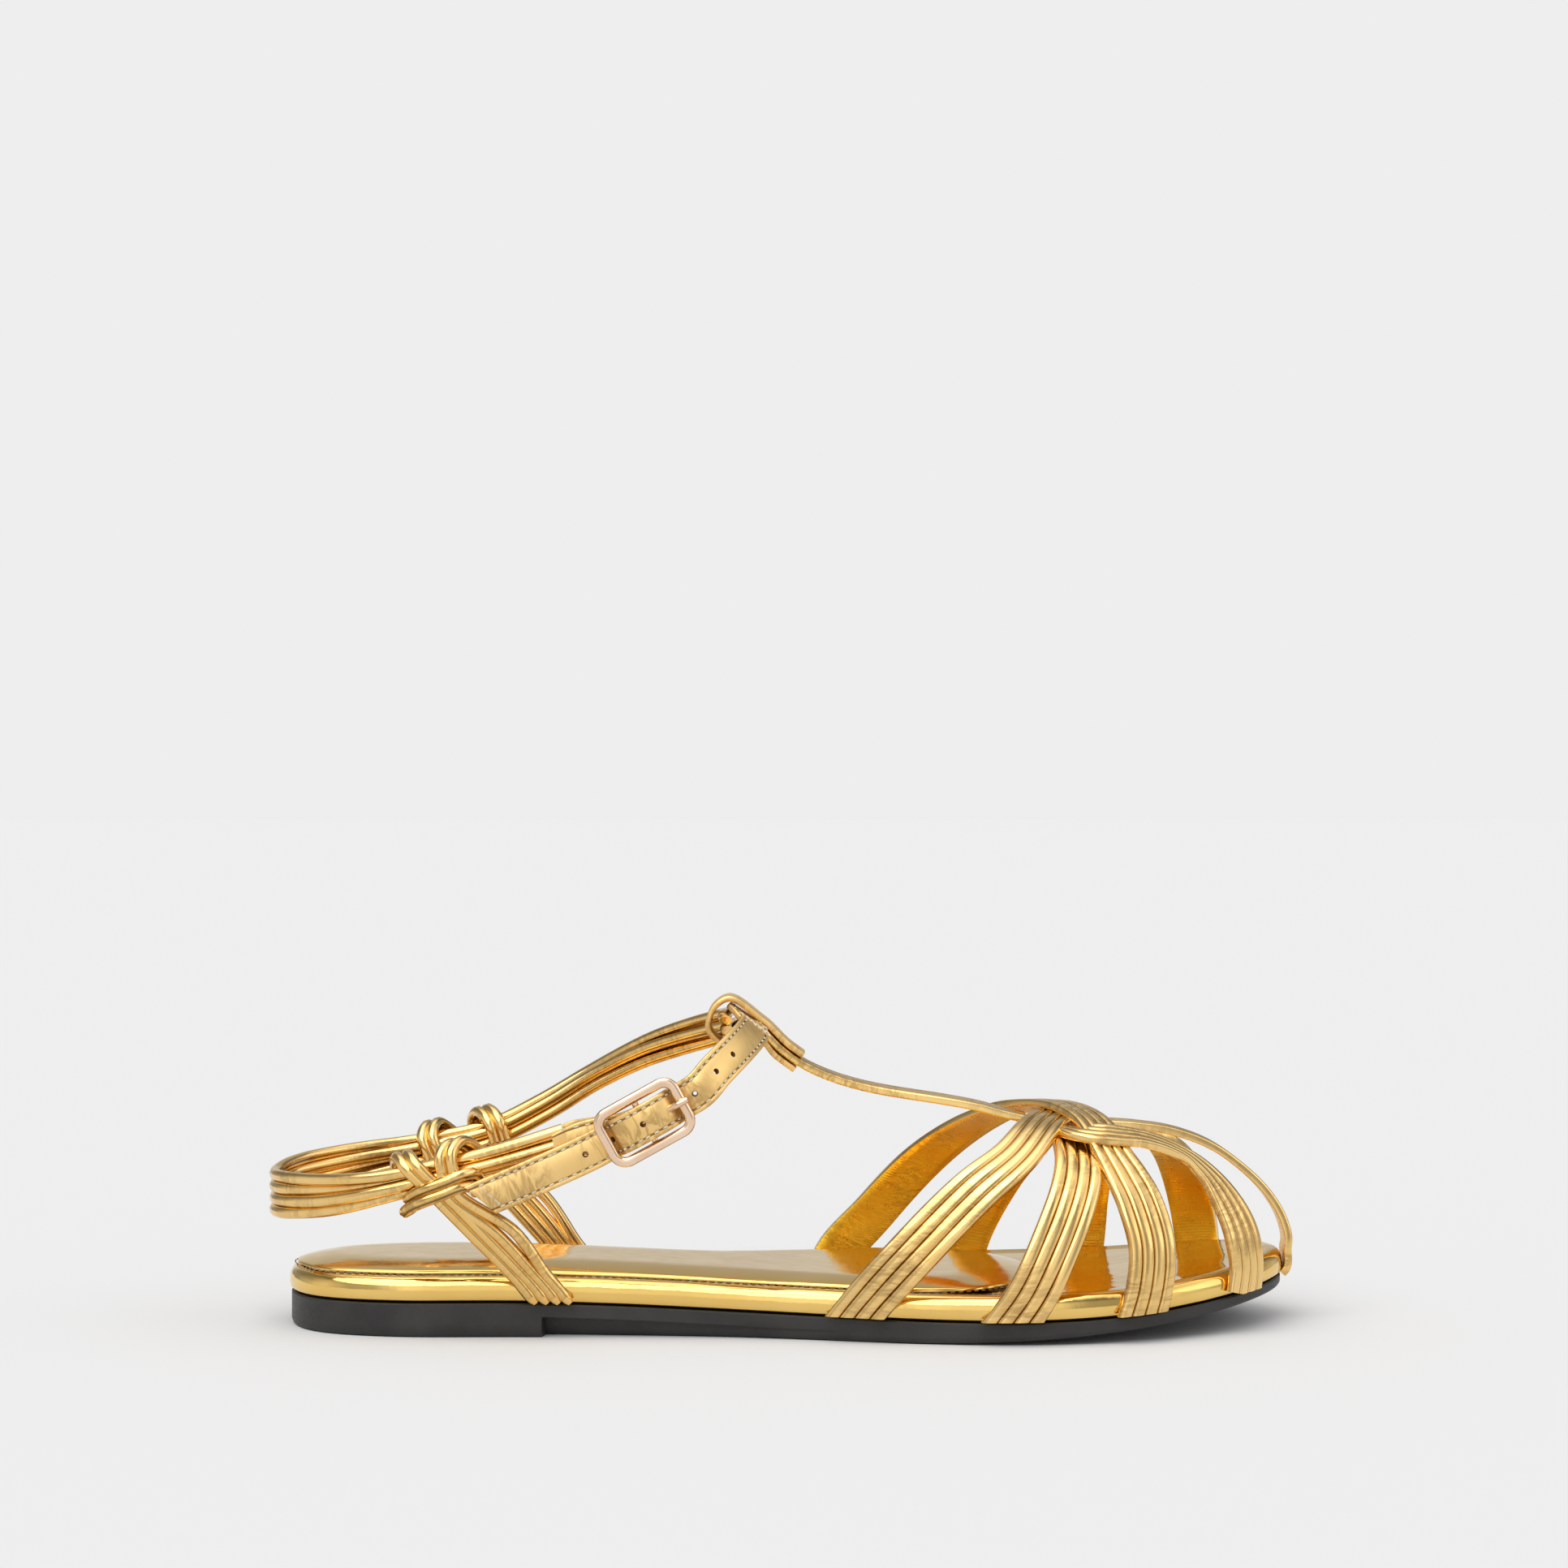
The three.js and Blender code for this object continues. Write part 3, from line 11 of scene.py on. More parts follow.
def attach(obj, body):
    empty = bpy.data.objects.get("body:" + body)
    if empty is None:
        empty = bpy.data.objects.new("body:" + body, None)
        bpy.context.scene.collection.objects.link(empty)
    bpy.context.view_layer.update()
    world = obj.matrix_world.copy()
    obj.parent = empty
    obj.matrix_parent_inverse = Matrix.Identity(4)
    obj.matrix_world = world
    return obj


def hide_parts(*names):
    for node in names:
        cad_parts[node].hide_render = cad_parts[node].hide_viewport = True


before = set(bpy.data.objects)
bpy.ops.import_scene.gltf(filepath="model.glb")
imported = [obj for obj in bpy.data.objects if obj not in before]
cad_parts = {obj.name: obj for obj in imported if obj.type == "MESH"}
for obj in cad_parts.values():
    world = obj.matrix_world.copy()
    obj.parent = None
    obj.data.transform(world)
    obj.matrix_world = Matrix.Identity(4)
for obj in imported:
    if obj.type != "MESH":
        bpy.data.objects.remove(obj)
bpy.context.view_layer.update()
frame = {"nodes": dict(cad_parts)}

bl_info = {
    "name": "Strappy sandal looks",
    "version": (1, 0, 0),
    "blender": (4, 5, 0),
    "location": "3D View > Sidebar > Sandal",
    "description": "Dresses the sandal's solids in folded gold leather, cords, rubber and metal",
    "category": "Object",
}

MM = 0.001
WELD = 2e-6  # metres within which a grid's joined points become one
DEGREE = math.pi / 180
UP = Vector((0, 0, 1))
FORWARD = Vector((1, 0, 0))

# Sizes of the solids
LENGTH = 248
BALL_WIDTH = 86
HEEL_TO_ORIGIN = 32
SEAT_HEIGHT = 8.2
TOE_SPRING = 8.8
SPRING_START = 0.6
FOOTBED_THICK = 6.4
FLANGE_THICK = 3.3
HEEL_LENGTH = 65
SHANK_INSET = 4.5
SHANK_END = 0.56
SOLE_INSET = 0.5
TREAD_BEVEL = 1.2
PAD_THICK = 2.6
PAD_INSET = 4.4
PAD_START = 0.055  # turn at which the pad begins
PAD_END = 0.745
CROWN_HEIGHT = 49
STRAP_WIDTH = 11.8
STRAP_THICK = 2.0
FOLDS = 4
CORD = 3.0
CORDS = 4
ANKLE_WIDTH = 60
ANKLE_HEIGHT = 74
BAND_WIDTH = 9
BAND_THICK = 1.4
HOLE = 1.5
HOLE_PITCH = 7.7
TAIL_HOLES = 3
FRONT_HOLES = 3
TAIL_LENGTH = 45.3
TAIL_RISE = 3.5
TAIL_CUT = 21
BUCKLE_LENGTH = 22.8
BUCKLE_ACROSS = 15.4
BUCKLE_WIRE = 2.5
BUCKLE_THICK = 1.6
BUCKLE_CORNER = 4.2
BUCKLE_TILT = 29
BAR = 1.6
BAR_DEPTH = 1.5
PRONG = 1.6
TAB_THICK = 1.0
TAB_REACH = 22
LOOP_WIDTH = 12
LOOP_THICK = 1.5
LOOP_TAIL = 11.5
LOOP_SLOPE = 34
LOOP_STAND = 2.9
LOOP_FAN = 0.72
CORDS_PAST_LOOP = 4
BAND_IN_LOOP = 0.8
KNOT_HALF_LENGTH = 9
TIE_LEAN = 0.85
TIE_BOW = 1.5
GAP = 0.3
SHOULDER = 0.09

# Sizes of the looks
FOLD_STEPS = 8
FOLD_EDGE = 0.3  # height of a strap's outer edges
FOLD_SWAY = 0.86  # under 1 gathers a fold's points at its middle
FOLD_CROWN = 0.42  # under 1 flattens a fold's top
CURVE_SAMPLES = 300
SPINE_ROOM = 16  # middle line to both tips of the sole and the footbed
PAD_ROUND = 0.09  # turn over which the pad's ends round off
PAD_SPINE_START = 0.11  # turn from the pad's ends to its middle line
PAD_SPINE_END = 0.1
PAD_STITCH_OUT = 0.6  # the pad's edge to its stitches
PAD_STITCH_SINK = 0.05
TAB_WIDTH = BAND_WIDTH - 0.6
TAB_STITCH_INSET = 1.1
TAB_ROUND = 9  # stations over which the tab's ends round off
TACK_AT = 0.812  # share of the buckle strap at which it is tacked
TACK_STITCHES = 11
TACK_WIDTH = 8.0
TACK_SLANT = 0.28
TACK_STITCH = (3.3, 0.66, 0.6)
END_STITCH = 2.0
THREAD_HEIGHT = 0.7  # share of the thread's width

# The photograph's camera and its even backdrop
LENS = 77.63
SENSOR = 36
CAMERA_ALONG = 0.0912
BACKDROP = 0.855
FLOOR_HALF = 12.0


def table(columns, *rows):
    """Names the columns of a table."""
    names = columns.split()
    return [dict(zip(names, row)) for row in rows]


LAST = table(
    "along lateral medial seat crown",
    (0.0, 0.0, 0.0, 1.0, 1.08),
    (0.033, 0.235, 0.235, 1.0, 1.08),
    (0.115, 0.331, 0.331, 1.0, 1.08),
    (0.24, 0.338, 0.302, 1.0, 1.08),
    (0.34, 0.343, 0.276, 0.92, 1.08),
    (0.44, 0.355, 0.295, 0.79, 1.07),
    (0.54, 0.4, 0.382, 0.7, 1.05),
    (0.64, 0.462, 0.472, 0.65, 1.03),
    (0.74, 0.485, 0.512, 0.66, 1.0),
    (0.83, 0.442, 0.492, 0.775, 0.945),
    (0.9, 0.355, 0.437, 0.99, 0.87),
    (0.955, 0.222, 0.345, 1.19, 0.72),
    (0.987, 0.095, 0.22, 1.34, 0.555),
    (1.0, -0.05, 0.05, 1.42, 0.37),
)

STRAP_COLUMNS = "along angle lift width"
CAGE = {
    "medial_rear": table(
        STRAP_COLUMNS,
        (0.537, 196, 0, 1),
        (0.553, 181, 0, 1),
        (0.596, 165, 0, 1),
        (0.661, 137, 0, 1),
        (0.7, 119, 0.4, 0.95),
        (0.733, 103, 1.3, 0.88),
        (0.77, 89, 2.1, 0.82),
        (0.798, 74, 1.9, 0.8),
        (0.815, 57, 1.0, 0.85),
        (0.829, 46, 0.3, 0.95),
        (0.842, 33, 0, 1),
        (0.851, 16, 0, 1),
        (0.848, 0, 0, 1),
        (0.836, -16, 0, 1),
    ),
    "medial_middle": table(
        STRAP_COLUMNS,
        (0.676, 196, 0, 1),
        (0.688, 180, 0, 1),
        (0.702, 168, 0, 1),
        (0.726, 152, 0, 1),
        (0.752, 135, 0, 0.95),
        (0.767, 117, 0, 0.85),
        (0.768, 95, 0, 0.8),
        (0.776, 72, 0.6, 0.78),
        (0.8, 63, 1.8, 0.72),
        (0.845, 63, 1.8, 0.54),
        (0.882, 60, 1.2, 0.42),
        (0.904, 55, 0.6, 0.6),
        (0.925, 44, 0.1, 0.85),
        (0.943, 23, 0, 1),
        (0.949, 2, 0, 1),
        (0.946, -16, 0, 1),
    ),
    "lateral_rear": table(
        STRAP_COLUMNS,
        (0.547, -16, 0, 1),
        (0.585, 0, 0, 1),
        (0.633, 18, 0, 1),
        (0.68, 36, 0, 1),
        (0.722, 52, 0.3, 0.95),
        (0.75, 70, 1.1, 0.88),
        (0.775, 89, 1.05, 0.82),
        (0.797, 107, 1.0, 0.8),
        (0.811, 124, 0.5, 0.9),
        (0.817, 145, 0, 1),
        (0.815, 165, 0, 1),
        (0.812, 180, 0, 1),
        (0.807, 196, 0, 1),
    ),
    "lateral_middle": table(
        STRAP_COLUMNS,
        (0.698, -16, 0, 1),
        (0.733, 0, 0, 1),
        (0.758, 18, 0, 1),
        (0.774, 33, 0, 1),
        (0.782, 46, 0, 0.97),
        (0.783, 60, 0, 0.9),
        (0.777, 76, 0, 0.85),
        (0.772, 95, 0, 0.8),
        (0.782, 107, 0.2, 0.78),
        (0.805, 112, 0.4, 0.78),
        (0.843, 112, 0.5, 0.78),
        (0.876, 115, 0.5, 0.85),
        (0.898, 126, 0.2, 0.95),
        (0.915, 145, 0, 1),
        (0.925, 165, 0, 1),
        (0.929, 180, 0, 1),
        (0.931, 196, 0, 1),
    ),
}
TOE_STRAP = table(
    "along lift width",
    (0.79, 0.4, 0.75),
    (0.82, 0.5, 0.72),
    (0.85, 0.8, 0.72),
    (0.885, 1.0, 0.72),
    (0.92, 1.0, 0.74),
    (0.95, 0.7, 0.78),
    (0.975, 0.5, 0.8),
    (0.992, 0.3, 0.8),
    (1.0, 0.15, 0.8),
)
TOE_FOOT = ((0.15, 0.02), (0.5, 0), (0.8, 0.04), (1.0, 0.2))
INSTEP = table(
    "along rise",
    (0.738, 0.02),
    (0.72, 0.06),
    (0.69, 0.14),
    (0.645, 0.22),
    (0.6, 0.29),
    (0.56, 0.38),
    (0.525, 0.51),
    (0.498, 0.67),
    (0.475, 0.89),
)
ANKLE = table(
    "along across height fan roll",
    (0.36, 0.38, 0.89, 0.55, -20),
    (0.302, 0.47, 0.79, 0.5, 0),
    (0.248, 0.5, 0.68, 0.5, 0),
    (0.19, 0.5, 0.585, 0.5, 0),
    (0.121, 0.475, 0.53, 0.6, 0),
    (0.05, 0.37, 0.49, 0.85, 0),
    (0.0, 0.19, 0.46, 1, 0),
    (-0.015, 0.0, 0.44, 1, 0),
    (0.0, -0.2, 0.44, 1, 0),
    (0.05, -0.36, 0.455, 0.85, 0),
    (0.105, -0.455, 0.49, 0.6, 0),
    (0.165, -0.49, 0.54, 0.5, 0),
    (0.225, -0.505, 0.592, 0.5, 0),
    (0.285, -0.505, 0.652, 0.55, 0),
)
TIES = {
    "medial": {"side": 1, "knot": 6.3, "foot": 0.29},
    "lateral": {"side": -1, "knot": 14, "foot": 0.275},
}
KNOT_COLUMNS = "lean out up"
KNOT_BACK = table(
    KNOT_COLUMNS,
    (-0.08, 1.05, -0.95),
    (-0.35, 1.05, -0.25),
    (-0.7, 1.0, 0.65),
    (-0.95, 0.15, 1.12),
    (-1.15, -0.9, 0.65),
    (-1.05, -1.05, -0.35),
)
KNOT_FRONT = table(
    KNOT_COLUMNS,
    (0.22, 1.05, -0.95),
    (0.25, 1.05, -0.1),
    (0.3, 1.0, 0.75),
    (0.55, 0.1, 1.15),
    (0.8, -0.95, 0.6),
    (0.85, -1.05, -0.35),
)
KNOT_WRAP = table(
    KNOT_COLUMNS,
    (-0.7, -0.95, -0.5),
    (-1.05, -0.45, -1.05),
    (-1.15, 0.5, -1.12),
    (-0.75, 1.3, -0.9),
    (0.05, 1.5, -0.72),
    (0.5, 1.25, -0.62),
    (0.8, 0.6, -0.72),
    (0.75, -0.3, -1.05),
    (0.5, -0.95, -0.6),
)
WRAPS = table("lean up", (0.12, 0.38), (-0.05, -0.12))
BUCKLE_AT = {"along": 0.3625, "across": -0.632, "height": 0.715}

# Section tables of the looks: inset from the outline, and share of the thickness
RIM = table(
    "inset up",
    (1.8, 0.0),
    (0.8, 0.03),
    (0.25, 0.12),
    (0.05, 0.27),
    (0.0, 0.43),
    (0.1, 0.58),
    (0.38, 0.73),
    (0.9, 0.86),
    (1.7, 0.955),
    (2.7, 1.0),
    (3.8, 0.995),
    (4.6, 0.95),
    (9.0, 0.94),
)
PAD_EDGE = table(
    "inset up",
    (0.0, 0.0),
    (0.02, 0.14),
    (0.25, 0.26),
    (0.8, 0.36),
    (1.8, 0.47),
    (3.2, 0.6),
    (5.0, 0.74),
    (7.2, 0.88),
    (9.4, 0.97),
    (11.5, 1.0),
    (14.0, 1.0),
)


# Smooth lines through tables and points
def column(rows, key, position):
    """A smooth line through one column of a table, with each row's slope the mean of its neighbours'."""
    xs = [position(i, row) for i, row in enumerate(rows)]
    ys = [row[key] for row in rows]
    last = len(xs) - 1

    def slope(i):
        a = max(0, i - 1)
        b = min(last, i + 1)
        return (ys[b] - ys[a]) / (xs[b] - xs[a])

    slopes = [slope(i) for i in range(last + 1)]

    def value(x):
        i = 0
        while i < last - 1 and x > xs[i + 1]:
            i += 1
        step = xs[i + 1] - xs[i]
        t = min(1, max(0, (x - xs[i]) / step))
        t2 = t * t
        t3 = t2 * t
        return (
            ys[i] * (2 * t3 - 3 * t2 + 1)
            + slopes[i] * step * (t3 - 2 * t2 + t)
            + ys[i + 1] * (3 * t2 - 2 * t3)
            + slopes[i + 1] * step * (t3 - t2)
        )

    return value


class Curve:
    """A centripetal spline through points."""

    def __init__(self, points):
        self.points = [Vector(point) for point in points]
        self.samples = None

    def point(self, t):
        points = self.points
        last = len(points) - 1
        place = min(max(t, 0), 1) * last
        i = min(int(place), last - 1)
        weight = place - i
        p1 = points[i]
        p2 = points[i + 1]
        p0 = points[i - 1] if i > 0 else 2 * p1 - p2
        p3 = points[i + 2] if i + 2 <= last else 2 * p2 - p1
        d1 = (p2 - p1).length ** 0.5 or 1
        d0 = (p1 - p0).length ** 0.5 or d1
        d2 = (p3 - p2).length ** 0.5 or d1
        t1 = ((p1 - p0) / d0 - (p2 - p0) / (d0 + d1) + (p2 - p1) / d1) * d1
        t2 = ((p2 - p1) / d1 - (p3 - p1) / (d1 + d2) + (p3 - p2) / d2) * d1
        c2 = 3 * (p2 - p1) - 2 * t1 - t2
        c3 = 2 * (p1 - p2) + t1 + t2
        return p1 + weight * (t1 + weight * (c2 + weight * c3))

    def tangent(self, t):
        ahead = self.point(min(1, t + 1e-4))
        behind = self.point(max(0, t - 1e-4))
        return (ahead - behind).normalized()

    def measured(self):
        if self.samples is None:
            self.samples = [0.0]
            before = self.point(0)
            for i in range(1, CURVE_SAMPLES + 1):
                here = self.point(i / CURVE_SAMPLES)
                self.samples.append(self.samples[-1] + (here - before).length)
                before = here
        return self.samples

    def length(self):
        return self.measured()[-1]

    def share_at(self, distance):
        """The curve's own share at a distance along it."""
        samples = self.measured()
        low = 0
        high = len(samples) - 1
        while high - low > 1:
            middle = (low + high) // 2
            if samples[middle] <= distance:
                low = middle
            else:
                high = middle
        gap = samples[high] - samples[low]
        part = (distance - samples[low]) / gap if gap else 0
        return (low + min(1, max(0, part))) / (len(samples) - 1)


def mix(a, b, t):
    return a + (b - a) * t


# The last and the footbed's outline
def turn_at(along):
    return math.acos(1 - 2 * min(1, max(0, along))) / math.pi


def along_at(turn):
    return (1 - math.cos(math.pi * turn)) / 2


def last_column(key):
    return column(LAST, key, lambda i, row: turn_at(row["along"]))


lateral_at = last_column("lateral")
medial_at = last_column("medial")
seat_at = last_column("seat")
crown_at = last_column("crown")


def x_at(along):
    return along * LENGTH - HEEL_TO_ORIGIN


def edge_at(turn, side):
    return -lateral_at(turn) * BALL_WIDTH if side < 0 else medial_at(turn) * BALL_WIDTH


def middle_at(turn):
    return (edge_at(turn, -1) + edge_at(turn, 1)) / 2


def seat_height(turn):
    return seat_at(turn) * SEAT_HEIGHT


def rim_height(turn):
    return seat_height(turn) + FOOTBED_THICK


def crown_height(turn):
    return max(crown_at(turn) * CROWN_HEIGHT, rim_height(turn))


def tread_height(along):
    share = max(0, (along - SPRING_START) / (1 - SPRING_START))
    return TOE_SPRING * share * share


def outline_point(turn, side, inset):
    """The point of the outline at a turn on one side, moved in by inset square to the outline."""
    low = max(0, turn - 1e-3)
    high = min(1, turn + 1e-3)
    dx = x_at(along_at(high)) - x_at(along_at(low))
    dy = edge_at(high, side) - edge_at(low, side)
    size = math.hypot(dx, dy)
    x = x_at(along_at(turn)) + inset * side * dy / size
    return x, edge_at(turn, side) - inset * side * dx / size


def outline_ring(turns):
    """The stations of one round of the outline: heel tip, lateral side, toe tip, medial side."""
    inner = turns[1:-1]
    return (
        [(turns[0], 0)]
        + [(turn, -1) for turn in inner]
        + [(turns[-1], 0)]
        + [(turn, 1) for turn in reversed(inner)]
    )


def ring_place(station, inset):
    turn, side = station
    if side:
        return outline_point(turn, side, inset)
    one = outline_point(turn, -1, inset)
    other = outline_point(turn, 1, inset)
    return (one[0] + other[0]) / 2, (one[1] + other[1]) / 2


def spine_place(station, room):
    """The middle line's point under a station, kept room millimetres inside both tips."""
    turn = station[0]
    low = turn_at((room + 2) / LENGTH)
    high = turn_at(1 - room / LENGTH)
    inside = min(high, max(low, turn))
    return inside, x_at(along_at(inside)), middle_at(inside)


def last_point(turn, angle):
    lateral = edge_at(turn, -1)
    medial = edge_at(turn, 1)
    middle = (lateral + medial) / 2
    half = (medial - lateral) / 2
    rim = rim_height(turn)
    x = x_at(along_at(turn))
    rise = crown_height(turn) - rim
    fall = rise * (1 + SHOULDER) * DEGREE
    if angle < 0:
        return Vector((x, middle - half, rim + angle * fall))
    if angle > 180:
        return Vector((x, middle + half, rim + (180 - angle) * fall))
    sin = math.sin(angle * DEGREE)
    cos = math.cos(angle * DEGREE)
    y = middle - half * cos * (1 + SHOULDER * sin * sin)
    return Vector((x, y, rim + rise * sin * (1 + SHOULDER * cos * cos)))


def last_frame(turn, angle):
    point = last_point(turn, angle)
    by_turn = (last_point(turn + 1e-3, angle) - last_point(turn - 1e-3, angle)) / 2e-3
    by_angle = last_point(turn, angle + 0.5) - last_point(turn, angle - 0.5)
    return point, by_turn, by_angle, by_turn.cross(by_angle).normalized()


# Grids that become pieces
def lay_grid(bm, columns, rows, place, ring=False, slot_of=None, groove_of=None):
    """Moves a grid's points to their places and joins its sides. Its ends are capped, or joined by ring."""
    uv = bm.loops.layers.uv.verify()
    groove = bm.verts.layers.float.get("groove") or bm.verts.layers.float.new("groove")
    made = bmesh.ops.create_grid(bm, x_segments=columns, y_segments=rows, size=0.5)["verts"]
    spots = {}
    for vert in made:
        i = round((vert.co.x + 0.5) * columns)
        j = round((vert.co.y + 0.5) * rows)
        spots[vert] = (i, j)
    where = {}
    for vert, (i, j) in spots.items():
        spot = (i % columns, j % rows if ring else j)
        if spot not in where:
            where[spot] = place(*spot) * MM
        vert.co = where[spot]
        if groove_of:
            vert[groove] = groove_of(spot[0])
    at = {spot: vert.co for vert, spot in spots.items()}
    around = [0.0]
    for i in range(1, columns + 1):
        around.append(around[-1] + (at[i, rows // 2] - at[i - 1, rows // 2]).length)
    along = [0.0]
    for j in range(1, rows + 1):
        along.append(along[-1] + (at[0, j] - at[0, j - 1]).length)
    faces = {face for vert in made for face in vert.link_faces}
    for face in faces:
        face.smooth = True
        spot = min(spots[vert] for vert in face.verts)
        face.material_index = slot_of(*spot) if slot_of else 0
        for loop in face.loops:
            i, j = spots[loop.vert]
            loop[uv].uv = (around[i], along[j])
    bmesh.ops.remove_doubles(bm, verts=made, dist=WELD)
    live = [face for face in faces if face.is_valid]
    edges = {edge for face in live for edge in face.edges if edge.is_boundary}
    if edges and not ring:
        caps = bmesh.ops.holes_fill(bm, edges=list(edges), sides=0)["faces"]
        for face in caps:
            face.material_index = slot_of(0, 0) if slot_of else 0


def piece(name, bm, materials, node, crease=40):
    """Makes an object of a bmesh, standing for a CAD node. Edges sharper than crease degrees stay hard."""
    bmesh.ops.recalc_face_normals(bm, faces=bm.faces)
    for edge in bm.edges:
        edge.smooth = edge.calc_face_angle(0) < crease * DEGREE
    mesh = bpy.data.meshes.new(name)
    bm.to_mesh(mesh)
    bm.free()
    made = bpy.data.objects.new(name, mesh)
    bpy.context.scene.collection.objects.link(made)
    for material in materials:
        mesh.materials.append(material)
    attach(made, "root")
    if node:
        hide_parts(node)
    return made


def add_stitch(bm, point, tangent, normal, size):
    """One stitch: a small spindle along tangent. size holds its length, width and height."""
    side = normal.cross(tangent).normalized()
    length, width, height = size
    turned = Matrix((side * width, normal * height, tangent * length)).transposed().to_4x4()
    turned.translation = point * MM
    verts = bmesh.ops.create_uvsphere(bm, u_segments=6, v_segments=4, radius=0.5)["verts"]
    bmesh.ops.transform(bm, matrix=turned @ Matrix.Scale(MM, 4), verts=verts)
    for face in {face for vert in verts for face in vert.link_faces}:
        face.smooth = True


def stitch_size(sizes, width=1.0):
    """A stitch's length, width and height. width is a share of the thread's."""
    thread = sizes.thread_width / MM
    return sizes.stitch_length / MM, thread * width, thread * THREAD_HEIGHT


# Sections across straps, bands and cords
def folded_section(depth):
    """The folded strap's section: x as a share of its width, height, groove mask and material slot. The
    groove mask paints shade into the grooves between folds.
    """
    points = []
    for fold in range(FOLDS):
        for step in range(FOLD_STEPS + 1):
            if step == 0 and fold > 0:
                continue
            angle = (step / FOLD_STEPS - 0.5) * math.pi
            sway = math.copysign(abs(math.sin(angle)) ** FOLD_SWAY, math.sin(angle))
            rise = max(0, math.cos(angle)) ** FOLD_CROWN
            opening = fold == 0 and step < FOLD_STEPS / 2
            closing = fold == FOLDS - 1 and step > FOLD_STEPS / 2
            at_side = opening or closing
            floor = FOLD_EDGE if at_side else STRAP_THICK - depth
            height = floor + (STRAP_THICK - floor) * rise
            x = (fold + 0.5 + 0.5 * sway) / FOLDS - 0.5
            # Painted shade: darker toward the bottom of each groove between folds.
            mask = 0 if at_side else (1 - rise) ** 1.4
            points.append((x, height, mask, 0))
    for x in (0.5, 0.49, 0.3, 0.1, -0.1, -0.3, -0.49, -0.5):
        points.append((x, 0.12 if abs(x) == 0.5 else 0, 0, 1))
    return points


def flat_section(width, thick, over):
    """A band's section with rounded edges: x as a share of its width, height about its middle."""
    points = []
    half = thick / 2
    for side, start in ((1, -90), (-1, 90)):
        for step in range(7):
            angle = (start + step * 30) * DEGREE
            x = side * (width / 2 - over) + over * math.cos(angle)
            z = math.sin(angle) * half
            points.append((x / width, z))
        for share in (0.6, 0.2, -0.2, -0.6):
            points.append((side * share * (0.5 - over / width), side * half))
    return points


def stitched_section(width, thick, over, inset):
    """A stitched band's section: its front has a shallow channel under each row of stitches. Each point's
    third value is a mask that paints a line of shade into the channel.
    """
    points = []
    half = thick / 2
    # Painted shade: the channel's third value darkens it under the stitches.
    channel = ((0.36, 0, 0), (0.16, 0.14, 0.8), (-0.16, 0.14, 0.8), (-0.36, 0, 0))
    for side, start in ((1, -90), (-1, 90)):
        for step in range(7):
            angle = (start + step * 30) * DEGREE
            x = side * (width / 2 - over) + over * math.cos(angle)
            points.append((x / width, math.sin(angle) * half, 0))
        if side > 0:
            for away, sunk, mask in channel:
                points.append(((width / 2 - inset + away) / width, half - sunk, mask))
            points.append((0, half, 0))
            for away, sunk, mask in reversed(channel):
                points.append((-(width / 2 - inset + away) / width, half - sunk, mask))
        else:
            for share in (-0.6, -0.2, 0.2, 0.6):
                points.append((share * (0.5 - over / width), -half, 0))
    return points


def cord_section(diameter, seam_depth):
    """A cord's section with the groove of its seam: angle, radius and groove mask. The groove mask paints
    shade along the seam.
    """
    points = []
    for degrees in (0, 10, 24, 50, 80, 110, 140, 180, 220, 250, 280, 310, 336, 350):
        away = min(degrees, 360 - degrees)
        # Painted shade: darker along the seam's groove.
        mask = max(0, 1 - away / 26)
        points.append((degrees * DEGREE, diameter / 2 - seam_depth * mask, mask))
    return points


# Straps over the last
def strap_surface(rows):
    """A function from a place among the rows, a share across and a height to a point."""
    turns = [{"turn": turn_at(row["along"])} for row in rows]
    turn_of = column(turns, "turn", lambda i, row: i)
    angle_of, lift_of, width_of = [column(rows, key, lambda i, row: i) for key in ("angle", "lift", "width")]
    known = {}

    def middle(u):
        if u not in known:
            _, by_turn, by_angle, normal = last_frame(turn_of(u), angle_of(u))
            ahead = last_point(turn_of(u + 0.01), angle_of(u + 0.01))
            behind = last_point(turn_of(u - 0.01), angle_of(u - 0.01))
            side = (ahead - behind).normalized().cross(normal).normalized()
            aa = by_turn.dot(by_turn)
            ab = by_turn.dot(by_angle)
            bb = by_angle.dot(by_angle)
            sa = side.dot(by_turn)
            sb = side.dot(by_angle)
            scale = width_of(u) * STRAP_WIDTH / (aa * bb - ab * ab)
            known[u] = (scale * (sa * bb - sb * ab), scale * (sb * aa - sa * ab))
        return known[u]

    def surface(u, across, height):
        by_turn, by_angle = middle(u)
        point, _, _, normal = last_frame(turn_of(u) + across * by_turn, angle_of(u) + across * by_angle)
        return point + normal * (GAP + height + lift_of(u) * STRAP_THICK)

    return surface


def meets_seat(surface, across, outside, inside):
    """The place at which a strap's line comes down to the outsole."""
    low = outside
    high = inside
    for _ in range(16):
        u = (low + high) / 2
        point = surface(u, across, 0)
        along = (point.x + HEEL_TO_ORIGIN) / LENGTH
        if point.z > seat_height(turn_at(along)) + 2 * GAP:
            high = u
        else:
            low = u
    return high


def wobble(fold, place, amount):
    """A slow unevenness that differs from fold to fold."""
    return amount * (math.sin(place * 2.1 + fold * 1.7) + 0.6 * math.sin(place * 4.7 + fold * 2.9))


